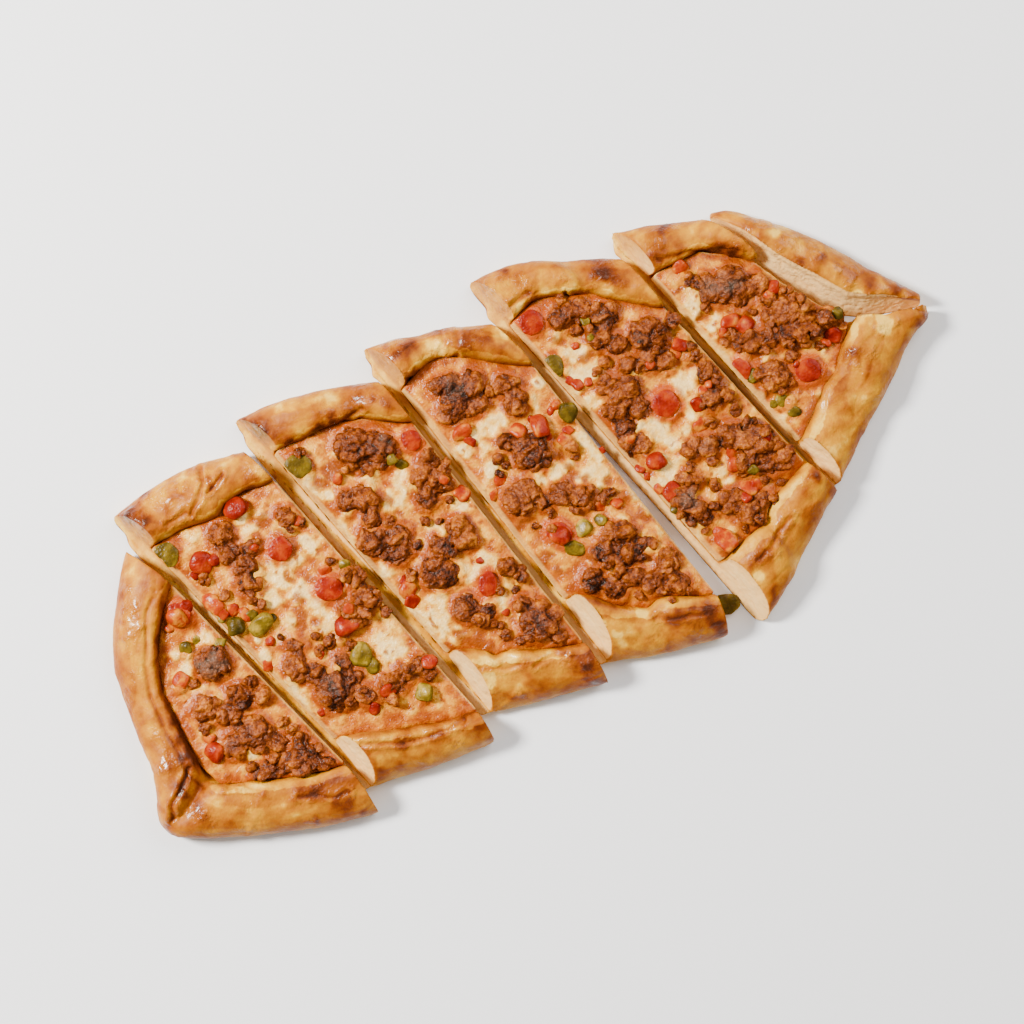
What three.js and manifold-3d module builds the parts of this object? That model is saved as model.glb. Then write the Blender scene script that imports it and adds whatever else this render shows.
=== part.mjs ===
// A Turkish pide: a boat of baked flatbread whose edges are folded up into a rim, filled with cheese,
// minced meat and diced peppers, and cut across into seven slices that lie side by side, a little apart.
// Millimetres, +Z up. X runs along the boat, Y across it, and the floor of the bread lies on Z = 0.
import * as THREE from "three";
import { mergeVertices } from "three/addons/utils/BufferGeometryUtils.js";
import Module from "manifold-3d";

const wasm = await Module();
wasm.setup();

// ---- Driving dimensions ----

const FLOOR = 5; // thickness of the bread under the filling
const CHEESE_TOP = 9.2; // level of the melted cheese
const CHEESE_RIPPLE = 0.6; // how far the cheese rises and sinks about its level
const CHEESE_SAG = 0.12; // how far its flat facets may lie above or below its curved surface
const CHEESE_COLUMNS = 8; // corners of the cheese's upper side in one section
const HEADROOM = 25; // space above the cheese in which toppings lie
const TOPPING_INSET = 0.5; // how far the toppings keep inside the cheese's edges along the rims
const OVERHANG = [1.2, 2.8]; // how far they may hang over its left and right cut
const RIM_HEIGHT = 14.5; // crest of the folded rim above the table
const RIM_SWELL = 0.07; // share by which the crest rises and falls along the rim
const RIM_SWELLS = 1.6; // how many times it does so along one slice
const CREASE_WIDTH = 0.05; // of a fold across a rim, as a share of the slice's length
const CREASE_NARROWING = 0.1; // share by which a crease narrows the rim
const CREASE_DEPTH = 0.16; // share by which it lowers the rim
const GAP = 0.3; // clearance between pieces that touch
const LEAN = 0.45; // each cut leans this far over for one unit of height
const LEAN_BEARING = THREE.MathUtils.degToRad(6.4); // the way the cuts lean over, turned from +X
const SEEN_HEIGHT = 10; // level at which a slice's right end is as wide as its outline says
const BULGE_REACH = 15; // room from the outer edge over which a cut's bulge grows to its full size
const CREASE_GAP = 0.8; // slot left where the two rims meet at an end of the boat
const CLOSED_FILL = 0.62; // height of the bottom of that crease, as a share of the rim's
const OPENING = 8; // room between the rims that brings the bread down from the crease to its floor
const TIP_START = 0.45; // height of the rim at the very tip, as a share of its full height
const TIP_REACH = 0.16; // share of an end slice over which it grows to full height
const TIP_CROWDING = 1.3; // how much closer together the sections of an end slice are at its tip

const NEIGHBOUR_GAP = 0.45; // what one topping grows by before it is cut out of the next
const CRUMB_SWELL = 1.08; // makes up for what flat facets cut off a crumb's width
const CRUMB_ROUGHNESS = 0.13; // share by which a crumb's corners are pushed in or out
const CRUMB_HEIGHT = 0.74; // height of a crumb, as a share of its diameter
const TALLEST_CRUMB = 8.6;
const CRUMB_SINK = 0.36; // share of a crumb's height that is sunk in the cheese
const LARGE_CRUMB = 11.6; // diameter from which a crumb gets the finer surface
const STICK = 0.4; // crumbs of a heap lie no further apart than this share of their diameters' sum
const SLOPE_REACH = 8; // how far round a topping the slope of the cheese is taken
const UP = new THREE.Vector3(0, 0, 1);
const PEPPER_ROUGHNESS = 0.1;
const PEPPER_HEIGHT = 5.5;
const PEPPER_MIDDLE = 2; // height of a pepper's middle above what it lies on
const BIT_HEIGHT = 4.4; // height of the small bits that are baked into the cheese
const BIT_BREADTH = 0.85; // their breadth as a share of their length
const BIT_ROUGHNESS = 0.12;
const SMALLEST_DETAIL = 0.1; // facets nearer to their neighbours' plane than this are left out
const SEED = 20517;

// A folded rim in section, from its outer foot over the crest to its inner lip: share of the rim's width
// in from the outer edge, and share of its height.
const RIM_SECTION = [
  [0.1, 0],
  [0.015, 0.13],
  [0, 0.3],
  [0.05, 0.52],
  [0.16, 0.73],
  [0.33, 0.88],
  [0.52, 0.97],
  [0.7, 1],
  [0.87, 0.96],
  [0.97, 0.85],
  [1, 0.7],
];
const LIP_UNDERCUT = 0.5; // how far the wall below the lip stands back from it

// Each slice, from the left end of the boat to the right. far and near are its outer edges seen from
// above, farRim and nearRim the widths of its rims at even steps along them, and creases the shares of
// the length at which a fold crosses a rim. lean says how much of the cut's lean each end has. bulge is
// how far the cut on the left, and the one on the right towards the far and the near rim, is pushed out
// to the right between the rims. foot is how far the foot of the left cut stands out to the left at its
// far and near end, and tips says which end is the tip of the boat.
const SLICES = [
  {
    far: [[-167.4, -20], [-158.9, -4.1], [-153.8, 19.9], [-143.8, 44.5], [-120.6, 67.9]],
    near: [[-165.5, -27.4], [-153.4, -35.9], [-136.4, -46.3], [-118.5, -55.1], [-98.8, -62.1]],
    farRim: [16, 18, 19, 17.5, 16],
    nearRim: [18, 20, 20, 19],
    creases: { far: [0.62], near: [] },
    lean: [0, 0.3],
    bulge: { left: 0, right: [3.2, 3.2] },
    foot: [0, 0],
    tips: [true, false],
    stations: 15,
  },
  {
    far: [[-119.6, 80.8], [-102.8, 81.8], [-84.5, 79.7], [-65.3, 73.9]],
    near: [[-96.6, -53.2], [-82.1, -57.5], [-66.1, -61.6], [-49.8, -64.5]],
    farRim: [18, 20, 21.5, 16, 14.5],
    nearRim: [20, 17, 15, 12],
    creases: { far: [0.58], near: [0.75] },
    lean: [1, 0.3],
    bulge: { left: 1.1, right: [1, 2.5] },
    foot: [0.3, 3],
    tips: [false, false],
    stations: 11,
  },
  {
    far: [[-63.1, 84.2], [-45.4, 80.7], [-28.3, 75], [-11, 67.1]],
    near: [[-46.3, -55.1], [-32.8, -60.9], [-18.9, -66.1], [-4.2, -70.1]],
    farRim: [17.5, 16.5, 14, 15.5, 18],
    nearRim: [23, 20.5, 18.5, 16],
    creases: { far: [0.72], near: [0.3] },
    lean: [1, 0.3],
    bulge: { left: 1.2, right: [0.2, 1.4] },
    foot: [0.5, 2.6],
    tips: [false, false],
    stations: 11,
  },
  {
    far: [[-10.8, 78.8], [5.4, 73.7], [20.2, 67.9], [34.6, 61]],
    near: [[-0.9, -64.1], [12.5, -71.2], [27, -76.8], [41, -81.2]],
    farRim: [18.5, 13, 11.5, 16, 19.5],
    nearRim: [23.5, 18, 18.5, 14.5],
    creases: { far: [0.35], near: [0.5] },
    lean: [1, 0.3],
    bulge: { left: 0.6, right: [1.6, 5.3] },
    foot: [0, 3.2],
    tips: [false, false],
    stations: 11,
  },
  {
    far: [[34.5, 77.2], [51.4, 73.9], [68.9, 64.4], [86.1, 53.9]],
    near: [[55.1, -84.4], [70.9, -77.3], [86.6, -68.5], [103, -60.6]],
    farRim: [20, 16, 14, 16.5, 18.5],
    nearRim: [26, 21, 19, 15.5],
    creases: { far: [0.6], near: [0.4] },
    lean: [1, 0.3],
    bulge: { left: -0.5, right: [-1, -2.2] },
    foot: [0, 2.8],
    tips: [false, false],
    stations: 11,
  },
  {
    far: [[86.9, 62.5], [103.8, 54.8], [124.8, 42.1], [142.9, 22.6], [156, 0.4], [167.5, -23]],
    near: [[102.9, -58.8], [119.9, -49.9], [139.5, -39.4], [156.3, -29.9], [164.8, -28.3]],
    farRim: [18, 13, 16, 16, 15, 14],
    nearRim: [20, 22, 23, 21],
    creases: { far: [0.2], near: [0.35] },
    lean: [1, 0],
    bulge: { left: -1.5, right: [0, 0] },
    foot: [0.3, 1.5],
    tips: [false, true],
    stations: 15,
  },
];

// The last slice is only a stretch of the rim, cut off along its inner lip and pushed outwards. far is
// its outer edge, near the foot of its cut.
const SLIVER = {
  far: [[121.4, 49.3], [129.7, 44.8], [140, 31.1], [150.7, 15], [159.4, -3.4], [167.8, -18.6]],
  near: [[120.9, 46.5], [124.9, 21.9], [131.8, 6.6], [139.4, -7.8], [147.9, -14.5], [165.6, -22.5]],
  height: [7, 13.5, 14.5, 14, 13, 10],
  leaningWidth: 12, // width from which its cut leans over like the others
  narrowest: 0.5, // share of the foot's width that is left at the crest
  stations: 13,
};
// Where the knife went down between the last two slices, at the height of the crest.
const KNIFE_LINE = [[119, 56], [122.2, 42.1], [130.5, 14], [142, -9.9], [152.6, -17.4], [175, -24.5]];
const KNIFE_FAR_SIDE = [[200, -25], [200, 80], [119, 80]]; // corners of what it takes away

// Crumbs of minced meat on each slice, in heaps that stick together: [x, y, diameter].
const MEAT = [
  [
    [[-117.5, 16.5, 12.5]],
    [[-119, -13, 13], [-129, -12.5, 10], [-121.5, -6.5, 8], [-123.5, -1.5, 8.5], [-129.5, 5, 11],
      [-114.5, 2.5, 11], [-109, -3, 8], [-113, -21.5, 8]],
    [[-111, -30.5, 13], [-105, -36, 8.5], [-107, -23, 7], [-124, -27, 10], [-117, -29, 8]],
  ],
  [
    [[-89, 53, 11.5], [-90.5, 46, 8.5]],
    [[-88, 38.5, 10], [-83.5, 43.5, 8], [-91, 32.5, 9.5]],
    [[-66, 45, 9.5]],
    [[-57.5, 13, 10], [-58.5, 4.5, 11], [-67, 2.5, 9.5]],
    [[-87, -17, 13.5], [-89.5, -6, 9.5], [-95.5, 0.5, 11], [-88.5, 6, 8.5], [-79, -16.5, 8.5],
      [-78.5, -9, 8], [-78.5, -24, 9.5]],
    [[-70.5, -26.5, 10], [-63, -25.5, 8.5], [-55, -27, 10]],
  ],
  [
    [[-32.5, 52, 13], [-25, 46.5, 13.5], [-33, 43, 7]],
    [[-45, 36.5, 10], [-39, 33.5, 11.5], [-41.5, 26.5, 8.5]],
    [[-12.5, 31.5, 9.5], [-19, 29, 8.5], [-13.5, 24, 11], [-21, 22, 9.5]],
    [[-45.5, 20, 12], [-36, 15.5, 11.5], [-40.5, 11.5, 9.5]],
    [[-32, -3, 13], [-25.5, 5, 9.5], [-16, 4, 11.5]],
    [[-31, -18.5, 11], [-26.5, -23.5, 8.5]],
    [[-12, -38, 13.5], [-9.5, -47, 8.5], [-13.5, -29, 8.5]],
  ],
  [
    [[7.5, 51, 11], [15, 46, 11.5], [6.5, 43, 12], [13.5, 39, 8]],
    [[26, 38.5, 9.5], [25.5, 32, 10]],
    [[19.5, 14, 14.5], [14.5, 22, 8.5]],
    [[7.5, 3, 13.5], [13.5, -3, 7.5], [20, -4, 10], [26, -10, 10]],
    [[27, -35.5, 11], [29.5, -28, 11.5], [21, -30, 10], [35, -36, 8.5]],
    [[24.5, -43.5, 9.5], [16.5, -42.5, 10], [11.5, -36.5, 10], [29.5, -49, 10], [37, -47, 11.5],
      [36.5, -54.5, 10]],
  ],
  [
    [[62.5, 45.5, 10], [56, 47.5, 11], [69, 39.5, 11.5], [62.5, 34, 10], [66.5, 28.5, 9.5]],
    [[77.5, 25, 13], [72, 16.5, 9.5], [66.5, 20, 8.5], [78, 14, 8.5]],
    [[55, 18.5, 9.5], [60.5, 13, 11.5], [53.5, 9.5, 11], [60, 5.5, 9.5], [52, 1, 10], [54, -5, 8],
      [48, -4, 8]],
    [[84, -6.5, 11], [87, 1, 10]],
    [[88.5, -28.5, 13], [82, -22, 11], [81, -33, 11], [87, -38, 8.5], [92.5, -39, 9.5],
      [73.5, -20, 10], [67, -17.5, 8.5]],
    [[54.5, -31.5, 11], [60.5, -27, 8.5], [57.5, -38.5, 9.5]],
    [[72.5, -48.5, 11.5], [69.5, -41.5, 11], [78.5, -47, 8.5]],
  ],
  [
    [[112, 23, 13], [105.5, 25.5, 11.5], [112.5, 16.5, 8.5], [120, 18, 10], [120.5, 11, 8]],
    [[126, 2.5, 12], [119, 5, 10], [126.5, -4.5, 10], [119, -4, 10], [111.5, -1, 9.5],
      [106, 3, 11], [101.5, 8.5, 8.5]],
    [[136, -6.5, 11]],
    [[107, -12.5, 12]],
  ],
];

// Pieces of pepper as large as a berry on each slice: [x, y, length, width, turn in degrees].
const RED_PEPPERS = [
  [[-117.5, 37.5, 10, 8.5, -65]],
  [[-74.5, 36.5, 9.5, 9.5, -35], [-68, 15, 11, 9, -45]],
  [[-13.5, 42, 8.5, 7, -75], [-20, -16, 7, 10, -35]],
  [[11.5, -16, 11, 8, -65]],
  [[46, 52.5, 9.5, 10, -35], [69.5, 1, 11, 11, -35]],
  [[98, -4.5, 8, 9.5, -35], [118, -18, 10, 9.5, -35]],
];
const GREEN_PEPPERS = [
  [],
  [[-109.5, 58, 9.5, 9.5, -35]],
  [[-52.5, 57.5, 11, 9.5, -35]],
  [],
  [[43.5, 34.5, 8.5, 9.5, -35]],
  [],
];
// One green piece has dropped off on to the table between the fourth and the fifth slice.
const FALLEN_PEPPER = [46.5, -71, 10.5, 8.5, -35];

// Smaller bits of pepper and meat, baked into the cheese of each slice: [x, y, size].
const BITS = [
  [[-135.5, -8.5, 8], [-123.5, 25, 6.5], [-132, 16, 6.5]],
  [[-79.5, 58, 8.5], [-100, 46.5, 8], [-95.5, 18.5, 8], [-104, 22.5, 8], [-75, -2, 7],
    [-61.5, -36, 8], [-92.5, 25, 8.5], [-103.5, 31.5, 8]],
  [[-45.5, -2, 8], [-11, -15.5, 9.5], [-7.5, -20, 8], [-42.5, 45.5, 5]],
  [[2, 34.5, 7], [27.5, 20, 8.5], [33, 10, 6.5], [16, -24, 8], [36.5, 18.5, 8]],
  [[77, -32, 7], [54, -14, 7], [59, -51.5, 8.5], [75, -10, 6], [87, 17, 9.5], [86, 10, 8.5]],
  [[101.5, 34, 8.5], [105, 12, 7], [106.5, -24, 7], [99.5, -16, 6], [125, 12.5, 6]],
];

// ---- Curves and sections ----

const { clamp, lerp, seededRandom, degToRad } = THREE.MathUtils;
seededRandom(SEED);

const draw = (low, high) => lerp(low, high, seededRandom());
const leanDirection = new THREE.Vector2(Math.cos(LEAN_BEARING), Math.sin(LEAN_BEARING));
const planCurve = (points) => new THREE.SplineCurve(points.map(([x, y]) => new THREE.Vector2(x, y)));

// A value that follows a few given ones at even steps, at the share u of the way along them.
function along(values, u) {
  const curve = new THREE.SplineCurve(values.map((value, i) => new THREE.Vector2(i, value)));
  return curve.getPoint(u).y;
}

// The height of the melted cheese, which rises and falls slowly.
function cheeseLevel(x, y) {
  const wave = 0.55 * Math.sin(x * 0.13 + y * 0.05) + 0.45 * Math.sin(y * 0.15 - x * 0.06 + 1);
  return CHEESE_TOP + CHEESE_RIPPLE * wave;
}

// How a fold narrows and lowers the rim near each crease.
const creaseAt = (creases, u) =>
  creases.reduce((depth, at) => Math.max(depth, Math.exp(-(((u - at) / CREASE_WIDTH) ** 2))), 0);

// Everything that one section across a slice needs, at the share u of the way along it.
function sectionAt(slice, u, index) {
  const outer = slice.farCurve.getPointAt(u);
  const opposite = slice.nearCurve.getPointAt(u);
  const room = outer.distanceTo(opposite);
  const across = opposite.clone().sub(outer).normalize();
  const slantwise = (curve) => Math.max(0.5, Math.abs(across.cross(curve.getTangentAt(u))));
  const narrowing = (crease) => 1 - CREASE_NARROWING * crease;
  const farCrease = creaseAt(slice.creases.far, u);
  const nearCrease = creaseAt(slice.creases.near, u);
  const farWidth = (along(slice.farRim, u) * narrowing(farCrease)) / slantwise(slice.farCurve);
  const nearWidth = (along(slice.nearRim, u) * narrowing(nearCrease)) / slantwise(slice.nearCurve);
  const squeeze = Math.min(1, (room - CREASE_GAP) / (farWidth + nearWidth));
  const fromTip = slice.tips[0] ? u : slice.tips[1] ? 1 - u : 1;
  const growth = clamp(fromTip / TIP_REACH, 0, 1);
  const height = RIM_HEIGHT * (TIP_START + (1 - TIP_START) * Math.sqrt(1 - (1 - growth) ** 2));
  const swell = (phase) => 1 + RIM_SWELL * Math.sin(2 * Math.PI * (RIM_SWELLS * u + phase));
  const farHeight = height * swell(0.37 * index) * (1 - CREASE_DEPTH * farCrease);
  const nearHeight = height * swell(0.61 * index + 0.4) * (1 - CREASE_DEPTH * nearCrease);
  const open = clamp((room - farWidth - nearWidth) / OPENING, 0, 1);
  const lean = lerp(slice.lean[0], slice.lean[1], u);
  const shift = -LEAN * SEEN_HEIGHT * u ** 2 * slice.lean[1];
  const pushed = (s, z) => {
    const bulge = (1 - u) ** 2 * slice.bulge.left + u ** 2 * lerp(...slice.bulge.right, s / room);
    const held = clamp(Math.min(s, room - s) / BULGE_REACH, 0, 1);
    const foot = (1 - u) ** 2 * lerp(...slice.foot, (s / room) ** 2) * (1 - z / SEEN_HEIGHT);
    return LEAN * z * lean + shift + bulge * held - foot;
  };
  return {
    room,
    open,
    far: { width: farWidth * squeeze, height: farHeight },
    near: { width: nearWidth * squeeze, height: nearHeight },
    floor: lerp(Math.min(farHeight, nearHeight) * CLOSED_FILL, FLOOR, open),
    place: (s, z) =>
      new THREE.Vector3(
        outer.x + across.x * s + leanDirection.x * pushed(s, z),
        outer.y + across.y * s + leanDirection.y * pushed(s, z),
        z,
      ),
  };
}

// The outline of the bread in one section, as [in from the far edge, up].
function breadOutline(section) {
  const { room, far, near, floor } = section;
  const farSide = RIM_SECTION.map(([s, z]) => [s * far.width, z * far.height]);
  const nearSide = RIM_SECTION.map(([s, z]) => [room - s * near.width, z * near.height]);
  const undercut = LIP_UNDERCUT * section.open;
  const farFoot = [far.width - undercut, floor];
  const nearFoot = [room - near.width + undercut, floor];
  return [...farSide, farFoot, nearFoot, ...nearSide.reverse()];
}

// The outline of what lies between the rims: the cheese, or with an inset and a ceiling the room that
// its toppings may take up.
function layerOutline(section, bottom, inset, ceiling) {
  const start = section.far.width + GAP + inset;
  const end = section.room - section.near.width - GAP - inset;
  const columns = ceiling ? 2 : CHEESE_COLUMNS;
  const over = Array.from({ length: columns }, (_, i) => {
    const s = lerp(start, end, i / (columns - 1));
    const at = section.place(s, CHEESE_TOP);
    return [s, ceiling ?? cheeseLevel(at.x, at.y)];
  });
  return [...over, [end, bottom], [start, bottom]];
}

// ---- Solids ----

function solid(positions, triangles) {
  const mesh = new wasm.Mesh({
    numProp: 3,
    vertProperties: new Float32Array(positions),
    triVerts: new Uint32Array(triangles),
  });
  return new wasm.Manifold(mesh);
}

// The triangles that fill an outline, each running round the same way as the outline.
function endFace(outline) {
  const points = outline.map(([s, z]) => new THREE.Vector2(s, z));
  const clockwise = THREE.ShapeUtils.isClockWise(points);
  const sameWay = (triangle) => THREE.ShapeUtils.isClockWise(triangle.map((i) => points[i])) === clockwise;
  const triangles = THREE.ShapeUtils.triangulateShape(points, []);
  return triangles.map((triangle) => (sameWay(triangle) ? triangle : triangle.reverse()));
}

// A closed body through a row of sections that have the same number of corners, each [s, z].
function loft(sections, outlines) {
  const corners = outlines[0].length;
  const positions = outlines.flatMap((outline, i) => outline.map(([s, z]) => sections[i].place(s, z)));
  const at = (station, corner) => station * corners + (corner % corners);
  const triangles = [];
  for (let i = 0; i + 1 < outlines.length; i += 1) {
    for (let j = 0; j < corners; j += 1) {
      triangles.push([at(i, j), at(i, j + 1), at(i + 1, j + 1)]);
      triangles.push([at(i, j), at(i + 1, j + 1), at(i + 1, j)]);
    }
  }
  const last = outlines.length - 1;
  endFace(outlines[0]).forEach(([a, b, c]) => triangles.push([at(0, a), at(0, c), at(0, b)]));
  endFace(outlines[last]).forEach(([a, b, c]) => triangles.push([at(last, a), at(last, b), at(last, c)]));
  return solid(positions.flatMap((p) => p.toArray()), triangles.flat());
}

// A three.js geometry whose corners are shared, as a solid.
const fromGeometry = (geometry) => solid(geometry.attributes.position.array, geometry.index.array);

// An irregular lump: a many-sided ball with its corners pushed in and out, stretched and turned. It
// comes as a solid, and once more grown by the clearance that its neighbours keep.
function lump(centre, size, turn, roughness, detail) {
  const ball = new THREE.IcosahedronGeometry(0.5, detail);
  ball.deleteAttribute("normal");
  ball.deleteAttribute("uv");
  const geometry = mergeVertices(ball, 1e-4);
  const corners = geometry.attributes.position;
  const corner = new THREE.Vector3();
  const tumble = new THREE.Euler(draw(0, 6), draw(0, 6), draw(0, 6));
  for (let i = 0; i < corners.count; i += 1) {
    corner.fromBufferAttribute(corners, i).applyEuler(tumble);
    corner.multiplyScalar(1 + draw(-roughness, roughness)).multiply(size).applyAxisAngle(UP, turn);
    corners.setXYZ(i, corner.x, corner.y, corner.z);
  }
  const grown = geometry.clone();
  const share = 1 + (2 * NEIGHBOUR_GAP) / Math.min(size.x, size.y, size.z);
  grown.scale(share, share, share).translate(centre.x, centre.y, centre.z);
  geometry.translate(centre.x, centre.y, centre.z);
  const footprint = { x: centre.x, y: centre.y, reach: Math.max(size.x, size.y) / 2 };
  return { body: fromGeometry(geometry), grown: fromGeometry(grown), footprints: [footprint] };
}

// The crumbs of a heap, one after another by nearness, each drawn up to its neighbour if it lies apart.
function stickTogether(crumbs) {
  const loose = crumbs.map(([x, y, diameter]) => ({ spot: new THREE.Vector2(x, y), diameter }));
  const stuck = [loose.shift()];
  while (loose.length > 0) {
    const pairs = loose.flatMap((crumb) =>
      stuck.map((other) => {
        const touching = STICK * (crumb.diameter + other.diameter);
        return { crumb, other, apart: crumb.spot.distanceTo(other.spot) - touching };
      }),
    );
    const { crumb, other, apart } = pairs.reduce((a, b) => (b.apart < a.apart ? b : a));
    if (apart > 0) crumb.spot.add(other.spot.clone().sub(crumb.spot).setLength(apart));
    loose.splice(loose.indexOf(crumb), 1);
    stuck.push(crumb);
  }
  return stuck;
}

function meatHeap(crumbs) {
  const lumps = stickTogether(crumbs).map(({ spot, diameter }) => {
    const height = Math.min(TALLEST_CRUMB, diameter * CRUMB_HEIGHT);
    const swollen = diameter * CRUMB_SWELL;
    const size = new THREE.Vector3(swollen * draw(0.98, 1.14), swollen * draw(0.88, 1.02), height);
    const centre = new THREE.Vector3(spot.x, spot.y, CHEESE_TOP + height * (0.5 - CRUMB_SINK));
    const detail = diameter > LARGE_CRUMB ? 1 : 0;
    return lump(centre, size, draw(0, Math.PI), CRUMB_ROUGHNESS, detail);
  });
  return joinLumps(lumps);
}

// Several lumps as one.
function joinLumps(lumps) {
  return {
    body: wasm.Manifold.union(lumps.map((each) => each.body)),
    grown: wasm.Manifold.union(lumps.map((each) => each.grown)),
    footprints: lumps.flatMap((each) => each.footprints),
  };
}

// The plane that passes just clear of the cheese below some lumps.
function planeOverCheese(footprints) {
  const count = footprints.length;
  const x = footprints.reduce((sum, each) => sum + each.x, 0) / count;
  const y = footprints.reduce((sum, each) => sum + each.y, 0) / count;
  const slopeX = (cheeseLevel(x + SLOPE_REACH, y) - cheeseLevel(x - SLOPE_REACH, y)) / (2 * SLOPE_REACH);
  const slopeY = (cheeseLevel(x, y + SLOPE_REACH) - cheeseLevel(x, y - SLOPE_REACH)) / (2 * SLOPE_REACH);
  const normal = new THREE.Vector3(-slopeX, -slopeY, 1).normalize();
  const around = [[0, 0], [1, 0], [0, 1], [-1, 0], [0, -1]];
  const heights = footprints.flatMap((each) =>
    around.map(([i, j]) => {
      const at = new THREE.Vector3(each.x + i * each.reach, each.y + j * each.reach, 0);
      return normal.dot(at.setZ(cheeseLevel(at.x, at.y)));
    }),
  );
  return { normal, offset: Math.max(...heights) + CHEESE_SAG + GAP };
}

function pepper([x, y, length, width, degrees], base) {
  const centre = new THREE.Vector3(x, y, base + PEPPER_MIDDLE);
  const size = new THREE.Vector3(length, width, PEPPER_HEIGHT);
  return lump(centre, size, degToRad(degrees), PEPPER_ROUGHNESS, 1);
}

// The largest body of a solid that cutting may have left in several.
function largestBody(manifold) {
  return manifold.decompose().sort((a, b) => b.volume() - a.volume())[0];
}

// That body once more, without the facets that are too small to matter.
const cleaned = (manifold) => largestBody(largestBody(manifold).simplify(SMALLEST_DETAIL));

// ---- Materials ----

const finish = (color, roughness) => new THREE.MeshStandardMaterial({ color, roughness, metalness: 0 });
const breadFinish = () => finish(0xe3a95a, 0.45);
const cheeseFinish = () => finish(0xefcf9a, 0.4);
const meatFinish = () => finish(0x8a4c2a, 0.6);
const redFinish = () => finish(0xc4361c, 0.3);
const greenFinish = () => finish(0x7c7a26, 0.35);

// ---- The pide ----

const pide = new THREE.Group();

function addNode(name, manifold, material) {
  const mesh = manifold.getMesh();
  const geometry = new THREE.BufferGeometry();
  const corners = new Float32Array(mesh.numVert * 3);
  for (let i = 0; i < mesh.numVert; i += 1) {
    corners.set(mesh.vertProperties.subarray(i * mesh.numProp, i * mesh.numProp + 3), i * 3);
  }
  geometry.setAttribute("position", new THREE.BufferAttribute(corners, 3));
  geometry.setIndex(new THREE.BufferAttribute(new Uint32Array(mesh.triVerts), 1));
  const node = new THREE.Mesh(geometry, material);
  node.name = name;
  pide.add(node);
}

// A solid without what lies beyond the leaning cut between the last two slices.
function cutByKnife(manifold) {
  const corners = [...KNIFE_LINE, ...KNIFE_FAR_SIDE];
  const sections = [-1, CHEESE_TOP + HEADROOM + 1].map((z) => ({
    place: (x, y) =>
      new THREE.Vector3(
        x + leanDirection.x * LEAN * (z - RIM_HEIGHT),
        y + leanDirection.y * LEAN * (z - RIM_HEIGHT),
        z,
      ),
  }));
  return manifold.subtract(loft(sections, [corners, corners]));
}

const placed = []; // toppings so far, grown by the clearance, for later ones to keep away from

function placeTopping(name, topping, base, room, material) {
  let body = topping.body.trimByPlane(base.normal.toArray(), base.offset);
  if (room) body = body.intersect(room);
  for (const neighbour of placed) body = body.subtract(neighbour);
  placed.push(topping.grown);
  addNode(name, cleaned(body), material);
}

SLICES.forEach((slice, index) => {
  const number = index + 1;
  slice.farCurve = planCurve(slice.far);
  slice.nearCurve = planCurve(slice.near);
  const shares = Array.from({ length: slice.stations }, (_, i) => {
    const even = i / (slice.stations - 1);
    if (slice.tips[0]) return even ** TIP_CROWDING;
    return slice.tips[1] ? 1 - (1 - even) ** TIP_CROWDING : even;
  });
  const sections = shares.map((u) => sectionAt(slice, u, index));
  const openSections = sections.filter((section) => section.open === 1);
  const upright = (section) => ({ ...section, place: (s, z) => section.place(s, CHEESE_TOP).setZ(z) });
  const layer = (among, bottom, inset, ceiling, overhang) =>
    loft(
      among.map((section, i) => {
        const push = new THREE.Vector3();
        if (i === 0) push.x = -overhang[0];
        if (i === among.length - 1) push.x = overhang[1];
        return { ...section, place: (s, z) => section.place(s, z).add(push) };
      }),
      among.map((section) => layerOutline(section, bottom, inset, ceiling)),
    );
  const ceiling = CHEESE_TOP + HEADROOM;
  let bread = loft(sections, sections.map(breadOutline));
  let cheese = layer(openSections, FLOOR + GAP, 0, undefined, [0, 0]);
  let between = layer(openSections, FLOOR + GAP, 0, ceiling, [0, 0]);
  let room = layer(openSections.map(upright), FLOOR, TOPPING_INSET, ceiling, OVERHANG);
  if (slice.tips[1]) [bread, cheese, between, room] = [bread, cheese, between, room].map(cutByKnife);
  const bits = BITS[index].map(([x, y, size]) => {
    const centre = new THREE.Vector3(x, y, CHEESE_TOP);
    const extent = new THREE.Vector3(size, size * BIT_BREADTH, BIT_HEIGHT);
    return lump(centre, extent, draw(0, Math.PI), BIT_ROUGHNESS, 0);
  });
  const baked = wasm.Manifold.union([cheese, ...bits.map((each) => each.body)]).intersect(between);
  addNode(`dough_${number}`, largestBody(bread), breadFinish());
  addNode(`cheese_${number}`, cleaned(baked), cheeseFinish());
  placed.push(...bits.map((each) => each.grown));
  const onCheese = (name, topping, material) =>
    placeTopping(name, topping, planeOverCheese(topping.footprints), room, material);
  RED_PEPPERS[index].forEach((at, i) =>
    onCheese(`red_pepper_${number}_${i + 1}`, pepper(at, CHEESE_TOP), redFinish()),
  );
  GREEN_PEPPERS[index].forEach((at, i) =>
    onCheese(`green_pepper_${number}_${i + 1}`, pepper(at, CHEESE_TOP), greenFinish()),
  );
  MEAT[index].forEach((crumbs, i) => onCheese(`meat_${number}_${i + 1}`, meatHeap(crumbs), meatFinish()));
});

const table = { normal: UP, offset: 0 };
placeTopping("green_pepper_fallen", pepper(FALLEN_PEPPER, 0), table, undefined, greenFinish());

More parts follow.
